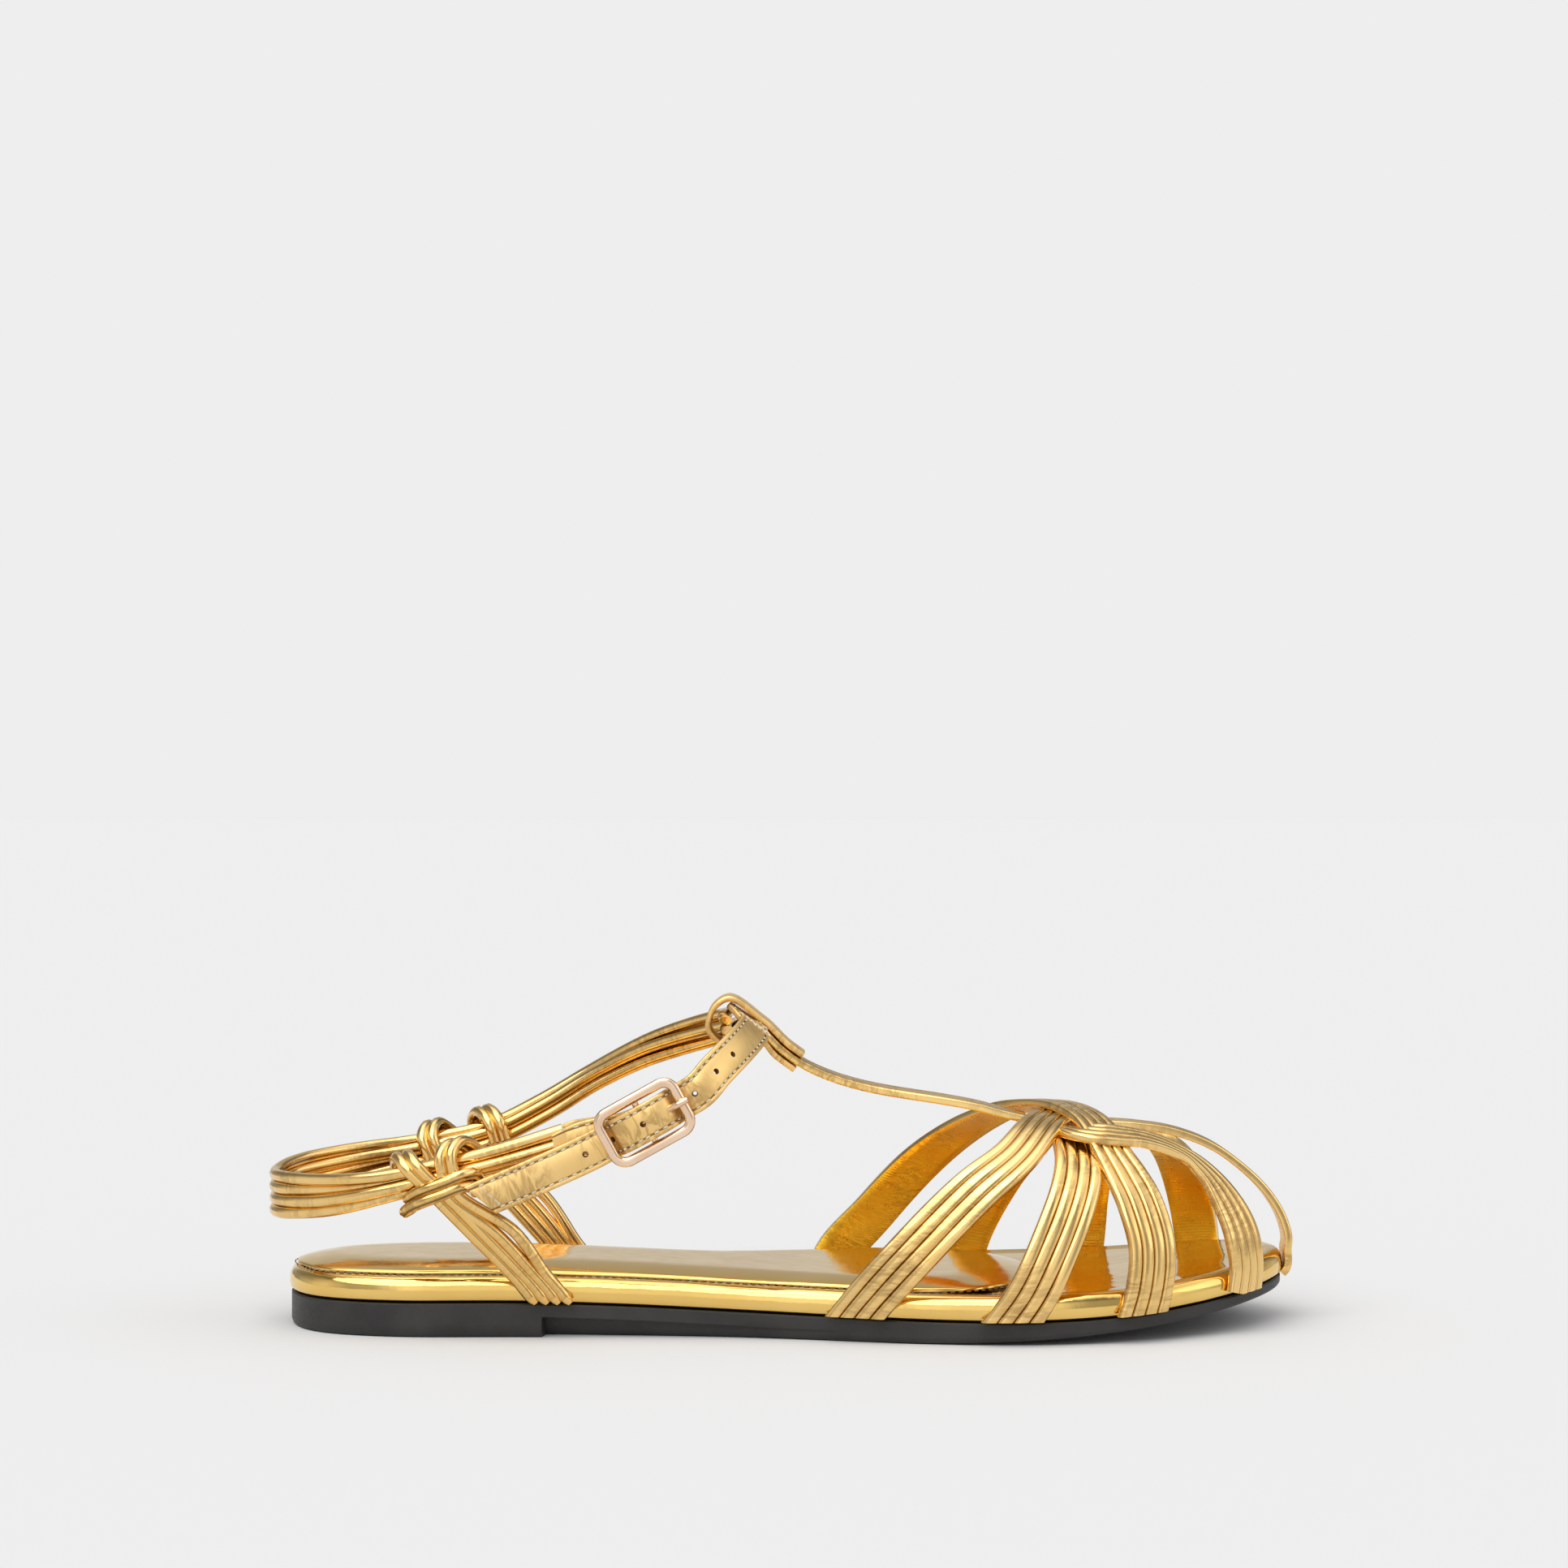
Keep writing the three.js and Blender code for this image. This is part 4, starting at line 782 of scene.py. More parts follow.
def lay_cage_strap(bm, rows, section, stations):
    surface = strap_surface(rows)
    last = len(rows) - 1
    ends = [
        (meets_seat(surface, x, 0.01, 2), meets_seat(surface, x, last - 0.01, last - 2))
        for x, _, _, _ in section
    ]

    def place(i, j):
        x, height, _, slot = section[i]
        u = mix(*ends[i], j / stations)
        fold = int((x + 0.5) * FOLDS * 0.999)
        rise = height + (wobble(fold, u, 0.05) if slot == 0 and height > 0.5 else 0)
        return surface(u, x + wobble(fold, u, 0.0025), rise)

    lay_grid(
        bm,
        len(section),
        stations,
        place,
        slot_of=lambda i, j: section[i][3],
        groove_of=lambda i: section[i][2],
    )


def ribbon_frames(rows, stations):
    """Centre, tangent, normal, side and width at each station of a ribbon through its rows."""
    path = Curve([row[0] for row in rows])
    normals = Curve([row[1] for row in rows])
    width_at = column([{"width": row[2]} for row in rows], "width", lambda i, row: i)
    frames = []
    for j in range(stations + 1):
        t = j / stations
        tangent = path.tangent(t)
        normal = normals.point(t)
        normal = (normal - tangent * normal.dot(tangent)).normalized()
        frames.append((path.point(t), tangent, normal, tangent.cross(normal), width_at(t * (len(rows) - 1))))
    return frames


def lay_ribbon(bm, frames, section, slot_of=None, groove_of=None):
    def place(i, j):
        centre, _, normal, side, width = frames[j]
        return centre + side * (section[i][0] * width) + normal * section[i][1]

    lay_grid(bm, len(section), len(frames) - 1, place, slot_of=slot_of, groove_of=groove_of)


def lay_folded_ribbon(bm, frames, section):
    lay_ribbon(bm, frames, section, lambda i, j: section[i][3], lambda i: section[i][2])


def toe_strap_rows():
    rows = []
    for row in TOE_STRAP:
        turn = min(turn_at(row["along"]), 0.985)
        point, _, _, normal = last_frame(turn, 90)
        point = point + normal * (GAP + row["lift"] * STRAP_THICK)
        rows.append((point, normal, row["width"] * STRAP_WIDTH))
    tip = last_point(1, 90)
    for drop, tuck in TOE_FOOT:
        x = tip.x + GAP - tuck * FOOTBED_THICK
        point = Vector((x, tip.y, rim_height(1) - drop * (FOOTBED_THICK - GAP)))
        rows.append((point, FORWARD, 0.8 * STRAP_WIDTH))
    return rows


def instep_curve():
    points = [
        Vector((x_at(row["along"]), 0, mix(CROWN_HEIGHT, ANKLE_HEIGHT, row["rise"]))) for row in INSTEP
    ]
    return Curve(points)


def loop_frame():
    """The instep loop's centre, the way down along the instep and the way out of it."""
    down = Vector((math.cos(LOOP_SLOPE * DEGREE), 0, -math.sin(LOOP_SLOPE * DEGREE)))
    normal = Vector((-down.z, 0, down.x))
    end = instep_curve().point(1)
    return end + down * (-BAND_WIDTH / 2 - LOOP_STAND) + normal * 1.4, down, normal


# The ankle cords' route
CORD_PITCH = CORD * 0.98


def bunch_of(fan):
    return math.sqrt(max(0, 1 - fan * fan)) * CORD_PITCH * 0.5


def ankle_point(along, across, height):
    return Vector((x_at(along), across * ANKLE_WIDTH, height * ANKLE_HEIGHT))


CORDS_IN_LOOP = -(BAND_THICK / 2 + 2.4 * GAP + CORD / 2 + bunch_of(LOOP_FAN))


def ankle_rows():
    centre, down, normal = loop_frame()
    side = Vector((0, 1, 0))
    rows = []
    for across, drop in (
        (-LOOP_WIDTH / 2 - CORDS_PAST_LOOP, CORDS_PAST_LOOP * 0.15),
        (-LOOP_WIDTH * 0.7, 0),
        (LOOP_WIDTH * 0.6, 0),
    ):
        point = centre + normal * CORDS_IN_LOOP + side * across + down * drop
        rows.append({"point": point, "fan": LOOP_FAN, "roll": LOOP_SLOPE - 90})
    for row in ANKLE:
        point = ankle_point(row["along"], row["across"], row["height"])
        rows.append({"point": point, "fan": row["fan"], "roll": row["roll"]})
    return rows


ROUTE = ankle_rows()
ROUTE_CURVE = Curve([row["point"] for row in ROUTE])
fan_at = column(ROUTE, "fan", lambda i, row: i)
roll_at = column(ROUTE, "roll", lambda i, row: i)


def ankle_frame(place):
    t = place / (len(ROUTE) - 1)
    point = ROUTE_CURVE.point(t)
    tangent = ROUTE_CURVE.tangent(t)
    upright = (UP - tangent * tangent.z).normalized()
    up = Quaternion(tangent, roll_at(place) * DEGREE) @ upright
    return point, tangent, up, tangent.cross(up), fan_at(place)


def lay_cord(bm, points, diameter, seam_depth, stations, lean=0.0, first=None, taper=0.0, tuck=False):
    """A cord through points. Its seam starts on the side of first, lean turns it, tuck pinches its start."""
    curve = Curve(points)
    section = cord_section(diameter, seam_depth)
    tangent = curve.tangent(0)
    start = first or (UP if abs(tangent.z) < 0.9 else FORWARD)
    normal = (start - tangent * start.dot(tangent)).normalized()
    frames = []
    length = curve.length()
    for j in range(stations + 1):
        t = curve.share_at(length * j / stations)
        ahead = curve.tangent(t)
        normal = tangent.rotation_difference(ahead) @ normal
        normal = (normal - ahead * normal.dot(ahead)).normalized()
        tangent = ahead
        frames.append((curve.point(t), normal, ahead.cross(normal)))

    def place(i, j):
        centre, across, over = frames[j]
        angle = section[i][0] + lean * j / stations
        narrow = 1 - taper * max(0, j / stations - 0.6) / 0.4
        if tuck:
            narrow = 0.5 + 0.5 * math.sin(min(1, j / stations * length / 2.2) * math.pi / 2)
        radius = section[i][1] * narrow
        return centre + across * (radius * math.cos(angle)) + over * (radius * math.sin(angle))

    lay_grid(bm, len(section), stations, place, groove_of=lambda i: section[i][2])


# The buckle's frame of reference
def buckle_axes():
    run = Vector((math.cos(BUCKLE_TILT * DEGREE), 0, math.sin(BUCKLE_TILT * DEGREE)))
    out = Vector((0, -1, 0))
    return ankle_point(**BUCKLE_AT), run, out, out.cross(run)


def buckle_matrix():
    """Places geometry drawn in the buckle's plane in metres: x is run, y is across and z is out."""
    centre, run, out, across = buckle_axes()
    turned = Matrix((run, across, out)).transposed().to_4x4()
    turned.translation = centre * MM
    return turned


PRONG_TIP = BUCKLE_LENGTH / 2 + 0.4
PRONG_RING = BAR / 2 + GAP + PRONG / 2
PRONG_REST = BUCKLE_THICK / 2 + GAP + PRONG / 2
PRONG_HOLE = PRONG_TIP * 0.62  # the middle bar to the prong's hole
UNDER = -BUCKLE_THICK / 2 - GAP - BAND_THICK / 2 - 0.15
OVER = -BAR_DEPTH + PRONG_RING + PRONG / 2 + GAP + BAND_THICK / 2


def band_rows():
    centre, run, out, _ = buckle_axes()

    def at(along, height, drop=0):
        return centre + run * along + out * height - UP * drop

    bar = BUCKLE_LENGTH / 2
    loop_centre, down, loop_normal = loop_frame()
    side = Vector((0, 1, 0))

    def in_loop(across):
        return loop_centre + down * BAND_IN_LOOP + side * across

    rows = [
        (at(-TAIL_LENGTH - 2, UNDER + 1.6, -TAIL_RISE), out),
        (at(-TAIL_LENGTH * 0.7, UNDER + 0.6, -0.45 * TAIL_RISE), out),
        (at(-bar - 3, UNDER), out),
        (at(-bar + BUCKLE_WIRE + 0.2, UNDER), out),
        (at(-bar * 0.56, OVER * 0.3), out),
        (at(-bar * 0.22, OVER * 0.95), out),
        (at(bar * 0.2, OVER), out),
        (at(bar * 0.52, OVER * 0.4), out),
        (at(bar - BUCKLE_WIRE - 0.2, UNDER), out),
        (at(bar + 3.5, UNDER, -0.3), out),
        (ankle_point(0.431, -0.545, 0.875), Vector((0.3, -0.93, 0.2))),
        (ankle_point(0.45, -0.43, 0.935), Vector((0.55, -0.75, 0.36))),
        (ankle_point(0.464, -0.28, 0.98), Vector((0.64, -0.6, 0.46))),
        (ankle_point(0.467, -0.18, 0.998), Vector((0.66, -0.42, 0.62))),
        (in_loop(-LOOP_WIDTH / 2), loop_normal),
        (in_loop(0), loop_normal),
        (in_loop(LOOP_WIDTH * 0.35), loop_normal),
    ]
    return [(point, normal, BAND_WIDTH) for point, normal in rows]


def tab_rows():
    centre, run, out, across = buckle_axes()
    bend = BAR / 2 + GAP + TAB_THICK / 2
    cords_end = ROUTE[-1]["point"] - centre
    climb = cords_end.dot(across) / cords_end.dot(run)
    half = CORD / 2 + bunch_of(ROUTE[-1]["fan"]) + GAP + TAB_THICK / 2
    outer = cords_end.dot(out) + half
    inner = cords_end.dot(out) - half

    def at(along, height):
        return centre + run * along + out * height + across * (min(along + 4, 0) * climb * 1.15)

    rows = [
        (at(-TAB_REACH, outer), out),
        (at(-TAB_REACH * 0.6, outer - 0.1), out),
        (at(-7, outer + 0.6), out),
        (at(-3, bend - BAR_DEPTH - 1), out),
        (at(-0.5, bend - BAR_DEPTH), out),
        (at(bend * 0.8, bend * 0.6 - BAR_DEPTH), run),
        (at(bend, -BAR_DEPTH), run),
        (at(bend * 0.8, -bend * 0.6 - BAR_DEPTH), run),
        (at(-0.5, -bend - BAR_DEPTH), -out),
        (at(-6, min(-bend - BAR_DEPTH - 0.6, outer - 1.6)), -out),
        (at(-TAB_REACH * 0.62, inner + 1.5), -out),
        (at(-TAB_REACH * 0.78, inner), -out),
        (at(-TAB_REACH, inner), -out),
    ]
    return [(point, normal, TAB_WIDTH) for point, normal in rows]


def loop_rows():
    centre, down, normal = loop_frame()
    half = LOOP_THICK / 2
    reach = BAND_WIDTH / 2 + 0.6
    above = BAND_THICK / 2 + GAP + half
    below = 2 * CORDS_IN_LOOP + BAND_THICK / 2 - half
    strap = instep_curve()

    def at(along, height):
        return centre + down * along + normal * height

    def beside(back, offset):
        t = strap.share_at(strap.length() - back)
        tangent = strap.tangent(t)
        outward = Vector((tangent.z, 0, -tangent.x))
        return strap.point(t) + outward * offset, outward * math.copysign(1, offset)

    over = STRAP_THICK + 0.6 * GAP + half
    under = -1.5 * GAP - half
    rows = [
        beside(LOOP_TAIL, over),
        beside(LOOP_TAIL * 0.5, over),
        beside(0, over),
        (at(reach, above), normal),
        (at(-reach + 0.8, above), normal),
        (at(-reach - half - 0.4, (above + below) / 2 + 1.6), -down),
        (at(-reach - half - 0.2, (above + below) / 2 - 1.6), -down),
        (at(-reach + 1, below), -normal),
        (at(reach - 1, below), -normal),
        beside(0, under),
        beside(LOOP_TAIL * 0.5, under),
        beside(LOOP_TAIL, under),
    ]
    return [(point, outward, LOOP_WIDTH) for point, outward in rows]


# Materials
class Nodes:
    """A node tree with short ways to add and link nodes."""

    def __init__(self, tree):
        self.tree = tree

    def add(self, kind, **settings):
        node = self.tree.nodes.new(kind)
        for key, value in settings.items():
            setattr(node, key, value)
        return node

    def link(self, source, target):
        self.tree.links.new(source, target)

    def noise(self, vector, scale, detail=2.0, rough=0.5, distortion=0.0):
        node = self.add("ShaderNodeTexNoise")
        node.inputs["Detail"].default_value = detail
        node.inputs["Roughness"].default_value = rough
        node.inputs["Distortion"].default_value = distortion
        self.feed(node.inputs["Scale"], scale)
        self.link(vector, node.inputs["Vector"])
        return node.outputs["Fac"]

    def feed(self, socket, value):
        if hasattr(value, "is_output"):
            self.link(value, socket)
        else:
            socket.default_value = value

    def math(self, operation, a, b=0.0):
        node = self.add("ShaderNodeMath", operation=operation)
        self.feed(node.inputs[0], a)
        self.feed(node.inputs[1], b)
        return node.outputs[0]

    def span(self, value, low, high, to_low=0.0, to_high=1.0):
        node = self.add("ShaderNodeMapRange", clamp=True)
        self.feed(node.inputs["Value"], value)
        node.inputs["From Min"].default_value = low
        node.inputs["From Max"].default_value = high
        self.feed(node.inputs["To Min"], to_low)
        self.feed(node.inputs["To Max"], to_high)
        return node.outputs["Result"]

    def blend(self, factor, a, b, mode="MIX"):
        node = self.add("ShaderNodeMix", data_type="RGBA", blend_type=mode)
        self.feed(node.inputs[0], factor)
        self.feed(node.inputs[6], a)
        self.feed(node.inputs[7], b)
        return node.outputs[2]

    def stretched(self, vector, scale):
        node = self.add("ShaderNodeMapping")
        node.inputs["Scale"].default_value = scale
        self.link(vector, node.inputs["Vector"])
        return node.outputs["Vector"]


def new_group(name, inputs, outputs):
    """A shader node group. inputs hold a name, kind and default, and outputs a name and kind."""
    tree = bpy.data.node_groups.new(name, "ShaderNodeTree")
    for label, kind, default in inputs:
        socket = tree.interface.new_socket(label, in_out="INPUT", socket_type=kind)
        if default is not None:
            socket.default_value = default
    for label, kind in outputs:
        tree.interface.new_socket(label, in_out="OUTPUT", socket_type=kind)
    nodes = Nodes(tree)
    start = nodes.add("NodeGroupInput")
    end = nodes.add("NodeGroupOutput")
    return tree, nodes, start.outputs, end.inputs


def crease_group():
    """Fine grain and creases that run across a strap, as a height and a mask. The mask raises roughness and
    paints shade into the creases.
    """
    tree, nodes, given, out = new_group(
        "Leather creases",
        [
            ("Surface", "NodeSocketVector", None),
            ("Object", "NodeSocketVector", None),
            ("Grain", "NodeSocketFloat", 1600.0),
            ("Crease", "NodeSocketFloat", 260.0),
            ("Crease strength", "NodeSocketFloat", 0.5),
        ],
        [("Height", "NodeSocketFloat"), ("Mask", "NodeSocketFloat")],
    )
    long_way = nodes.stretched(given["Surface"], (0.35, 1.0, 1.0))
    crease = nodes.noise(long_way, given["Crease"], 4.0, 0.62, 0.6)
    sharp = nodes.math("ABSOLUTE", nodes.math("SUBTRACT", crease, 0.5))
    valley = nodes.span(sharp, 0.0, 0.09)
    patches = nodes.span(nodes.noise(given["Object"], 55.0, 2.0), 0.42, 0.62)
    deep = nodes.math("MULTIPLY", nodes.math("SUBTRACT", 1.0, valley), patches)
    grain = nodes.noise(given["Object"], given["Grain"], 3.0, 0.6)
    creased = nodes.math("MULTIPLY", deep, given["Crease strength"])
    height = nodes.math("SUBTRACT", nodes.math("MULTIPLY", grain, 0.22), creased)
    nodes.link(height, out["Height"])
    nodes.link(deep, out["Mask"])
    return tree


def tone_group():
    """Uneven metallic colour: pale where the foil is full, deeper where it is worn, with painted shade in
    grooves and creases.
    """
    tree, nodes, given, out = new_group(
        "Uneven gold",
        [
            ("Object", "NodeSocketVector", None),
            ("Pale", "NodeSocketColor", (1, 1, 1, 1)),
            ("Deep", "NodeSocketColor", (1, 1, 1, 1)),
            ("Burnt", "NodeSocketColor", (1, 1, 1, 1)),
            ("Groove", "NodeSocketFloat", 0.0),
            ("Mask", "NodeSocketFloat", 0.0),
        ],
        [("Color", "NodeSocketColor")],
    )
    cloud = nodes.noise(given["Object"], 38.0, 3.0, 0.55)
    speck = nodes.noise(given["Object"], 900.0, 2.0, 0.6)
    drift = nodes.span(cloud, 0.36, 0.66)
    base = nodes.blend(drift, given["Pale"], given["Deep"])
    specked = nodes.blend(nodes.span(speck, 0.6, 0.78, 0.0, 0.35), base, given["Deep"])
    # Painted shade: creases and grooves are darkened toward the shading colour.
    creased = nodes.blend(nodes.math("MULTIPLY", given["Mask"], 0.45), specked, given["Burnt"])
    grooved = nodes.blend(given["Groove"], creased, given["Burnt"])
    nodes.link(grooved, out["Color"])
    return tree


def ripple_group():
    """Low ripples and orange peel of foil drawn over a firm core."""
    tree, nodes, given, out = new_group(
        "Drawn foil",
        [
            ("Object", "NodeSocketVector", None),
            ("Ripple", "NodeSocketFloat", 70.0),
            ("Peel", "NodeSocketFloat", 700.0),
        ],
        [("Height", "NodeSocketFloat"), ("Mask", "NodeSocketFloat")],
    )
    slow = nodes.noise(given["Object"], given["Ripple"], 2.0, 0.45, 0.4)
    peel = nodes.noise(given["Object"], given["Peel"], 2.0, 0.5)
    scuff = nodes.noise(nodes.stretched(given["Object"], (0.3, 1.0, 1.0)), 420.0, 4.0, 0.7)
    nodes.link(nodes.math("ADD", slow, nodes.math("MULTIPLY", peel, 0.05)), out["Height"])
    nodes.link(nodes.span(scuff, 0.62, 0.78), out["Mask"])
    return tree


class Surface:
    """A material whose shader stays outside its groups."""

    def __init__(self, name, metallic=0.0, specular=0.5):
        self.material = bpy.data.materials.new(name)
        self.material.use_nodes = True
        tree = self.material.node_tree
        tree.nodes.clear()
        self.nodes = Nodes(tree)
        self.shader = self.nodes.add("ShaderNodeBsdfPrincipled")
        output = self.nodes.add("ShaderNodeOutputMaterial")
        self.nodes.link(self.shader.outputs["BSDF"], output.inputs["Surface"])
        place = self.nodes.add("ShaderNodeTexCoord")
        self.object = place.outputs["Object"]
        self.uv = place.outputs["UV"]
        self.shader.inputs["Metallic"].default_value = metallic
        self.shader.inputs["Specular IOR Level"].default_value = specular

    def group(self, tree, **links):
        node = self.nodes.add("ShaderNodeGroup", node_tree=tree)
        for key, value in links.items():
            self.nodes.feed(node.inputs[key.replace("_", " ")], value)
        return node.outputs

    def set(self, socket, value):
        self.nodes.feed(self.shader.inputs[socket], value)

    def bump(self, height, distance):
        node = self.nodes.add("ShaderNodeBump")
        node.inputs["Strength"].default_value = 1.0
        node.inputs["Distance"].default_value = distance
        self.nodes.link(height, node.inputs["Height"])
        self.set("Normal", node.outputs["Normal"])

    def groove(self):
        node = self.nodes.add("ShaderNodeAttribute", attribute_name="groove")
        return node.outputs["Fac"]


def rgba(colour):
    return (*colour, 1.0)


def folded_gold(name, colours, groups, depth, crease, low, high, uneven):
    """Folded leather: the creases' strength, its lowest and highest roughness and the spread of its tones."""
    look = Surface(name, metallic=1.0)
    deep = [mix(pale, worn, uneven) for pale, worn in zip(colours.gold_pale, colours.gold_deep)]
    creases = look.group(groups["creases"], Surface=look.uv, Object=look.object, Crease_strength=crease)
    # Painted shade: the groove mask (fold grooves, cord seams, channels under stitches) and the crease mask
    # darken the colour toward the shading colour.
    tone = look.group(
        groups["tone"],
        Object=look.object,
        Pale=rgba(colours.gold_pale),
        Deep=rgba(deep),
        Burnt=rgba(colours.groove_shade_and_fibre),
        Groove=look.groove(),
        Mask=creases["Mask"],
    )
    look.set("Base Color", tone["Color"])
    fine = look.nodes.noise(look.object, 420.0, 3.0)
    rough = look.nodes.span(fine, 0.35, 0.7, low, high)
    look.set("Roughness", look.nodes.math("ADD", rough, look.nodes.math("MULTIPLY", creases["Mask"], 0.1)))
    look.bump(creases["Height"], depth)
    return look.material


def lining_gold(colours, groups):
    look = Surface("Amber lining", metallic=0.85)
    creases = look.group(groups["creases"], Surface=look.uv, Object=look.object, Crease=620.0, Grain=2400.0)
    # Painted shade: creases in the lining darken toward the shading colour.
    tone = look.group(
        groups["tone"],
        Object=look.object,
        Pale=rgba(colours.lining),
        Deep=rgba(colours.lining_deep),
        Burnt=rgba(colours.groove_shade_and_fibre),
        Mask=creases["Mask"],
    )
    look.set("Base Color", tone["Color"])
    look.set("Roughness", look.nodes.span(look.nodes.noise(look.object, 500.0, 2.0), 0.3, 0.7, 0.24, 0.38))
    across = look.nodes.add("ShaderNodeTexWave", wave_type="BANDS", bands_direction="Y")
    across.inputs["Scale"].default_value = 420.0
    across.inputs["Distortion"].default_value = 3.0
    across.inputs["Detail"].default_value = 2.0
    across.inputs["Detail Scale"].default_value = 1.5
    look.nodes.link(look.uv, across.inputs["Vector"])
    ribs = look.nodes.math("MULTIPLY", across.outputs["Fac"], 0.3)
    look.bump(look.nodes.math("ADD", creases["Height"], ribs), 0.00012)
    return look.material


def wrapped_gold(name, colours, groups, depth, low, high):
    look = Surface(name, metallic=1.0)
    foil = look.group(groups["ripple"], Object=look.object)
    tone = look.group(
        groups["tone"],
        Object=look.object,
        Pale=rgba(colours.wrap_pale),
        Deep=rgba(colours.wrap_deep),
        Burnt=rgba(colours.groove_shade_and_fibre),
        Groove=look.groove(),
        Mask=0.0,
    )
    look.set("Base Color", tone["Color"])
    fine = look.nodes.noise(look.object, 300.0, 3.0)
    rough = look.nodes.span(fine, 0.35, 0.7, low, high)
    look.set("Roughness", look.nodes.math("ADD", rough, look.nodes.math("MULTIPLY", foil["Mask"], 0.12)))
    look.bump(foil["Height"], depth)
    return look.material


def black_rubber(colours, tread=False):
    look = Surface("Tread rubber" if tread else "Black rubber", specular=0.45)
    cloud = look.nodes.noise(look.object, 60.0, 3.0)
    speck = look.nodes.noise(look.object, 1500.0, 2.0)
    worn = look.nodes.span(look.nodes.noise(look.object, 240.0, 4.0, 0.7), 0.55, 0.8, 0.0, 0.3)
    shade = look.nodes.span(cloud, 0.35, 0.65)
    base = look.nodes.blend(shade, rgba(colours.rubber), rgba(colours.rubber_worn))
    look.set("Base Color", look.nodes.blend(worn, base, rgba(colours.rubber_worn)))
    look.set("Roughness", look.nodes.span(speck, 0.3, 0.7, 0.42, 0.58))
    height = look.nodes.math("MULTIPLY", speck, 0.3)
    if tread:
        waves = look.nodes.add("ShaderNodeTexWave", wave_type="BANDS", bands_direction="X")
        waves.inputs["Scale"].default_value = 90.0
        waves.inputs["Distortion"].default_value = 1.5
        look.nodes.link(look.object, waves.inputs["Vector"])
        height = look.nodes.math("ADD", height, waves.outputs["Fac"])
    look.bump(height, 0.0004 if tread else 0.00008)
    return look.material


def rose_metal(colours):
    look = Surface("Rose metal", metallic=1.0)
    streak = look.nodes.noise(look.nodes.stretched(look.object, (0.15, 1.0, 1.0)), 1400.0, 3.0, 0.6)
    cloud = look.nodes.noise(look.object, 150.0, 2.0)
    shade = look.nodes.span(cloud, 0.3, 0.7)
    look.set("Base Color", look.nodes.blend(shade, rgba(colours.buckle), rgba(colours.buckle_deep)))
    look.set("Roughness", look.nodes.span(streak, 0.3, 0.75, 0.12, 0.24))
    look.bump(streak, 0.00002)
    return look.material


def thread(name, colour):
    look = Surface(name, metallic=0.1)
    twist = look.nodes.add("ShaderNodeTexWave", wave_type="BANDS", bands_direction="DIAGONAL")
    twist.inputs["Scale"].default_value = 1100.0
    look.nodes.link(look.object, twist.inputs["Vector"])
    shade = look.nodes.span(look.nodes.noise(look.object, 700.0, 2.0), 0.35, 0.65)
    worn = [0.8 * value for value in colour]
    look.set("Base Color", look.nodes.blend(shade, rgba(colour), rgba(worn)))
    look.set("Roughness", look.nodes.span(twist.outputs["Fac"], 0.0, 1.0, 0.4, 0.6))
    look.bump(twist.outputs["Fac"], 0.0001)
    return look.material


def raw_edge(colours):
    look = Surface("Raw leather edge")
    fibre = look.nodes.noise(look.object, 1800.0, 4.0, 0.7)
    shade = look.nodes.span(fibre, 0.3, 0.7)
    look.set("Base Color", look.nodes.blend(shade, rgba(colours.edge), rgba(colours.groove_shade_and_fibre)))
    look.set("Roughness", look.nodes.span(fibre, 0.3, 0.7, 0.6, 0.85))
    look.bump(fibre, 0.0002)
    return look.material


def floor_paper(colours):
    look = Surface("Floor paper", specular=0.0)
    fibre = look.nodes.noise(look.object, 900.0, 3.0)
    tint = look.nodes.span(fibre, 0.2, 0.8, 0.0, 0.05)
    look.set("Base Color", look.nodes.blend(tint, rgba(colours.floor), (0.6, 0.6, 0.6, 1)))
    look.set("Roughness", look.nodes.span(fibre, 0.3, 0.7, 0.85, 0.95))
    return look.material


FINISHES = {}


def make_finishes(colours, sizes):
    groups = {"creases": crease_group(), "tone": tone_group(), "ripple": ripple_group()}
    leather = (colours, groups, sizes.crease_depth)
    ripple = sizes.ripple_depth
    name = "Folded gold leather"
    FINISHES["strap"] = folded_gold(name, *leather, crease=0.03, low=0.16, high=0.23, uneven=0.4)
    FINISHES["cord"] = folded_gold("Gold cord", *leather, crease=0.12, low=0.12, high=0.2, uneven=0.6)
    FINISHES["band"] = folded_gold("Gold band leather", *leather, crease=0.0, low=0.4, high=0.48, uneven=0.25)
    FINISHES["lining"] = lining_gold(colours, groups)
    FINISHES["wrap"] = wrapped_gold("Wrapped gold foil", colours, groups, ripple, low=0.07, high=0.13)
    FINISHES["pad"] = wrapped_gold("Padded gold foil", colours, groups, ripple * 0.5, low=0.1, high=0.18)
    FINISHES["rubber"] = black_rubber(colours)
    FINISHES["tread"] = black_rubber(colours, tread=True)
    FINISHES["metal"] = rose_metal(colours)
    FINISHES["thread"] = thread("Gold thread", colours.thread)
    FINISHES["brown_thread"] = thread("Brown thread", colours.brown_thread)
    FINISHES["edge"] = raw_edge(colours)
    FINISHES["floor"] = floor_paper(colours)


# Sizes and colours a user would change
def colour(name, description, default):
    return FloatVectorProperty(
        name=name,
        description=description,
        default=default,
        subtype="COLOR",
        min=0.0,
        max=1.0,
    )


def length(name, description, default):
    return FloatProperty(
        name=name,
        description=description,
        default=default * MM,
        min=0.0,
        precision=5,
        unit="LENGTH",
    )


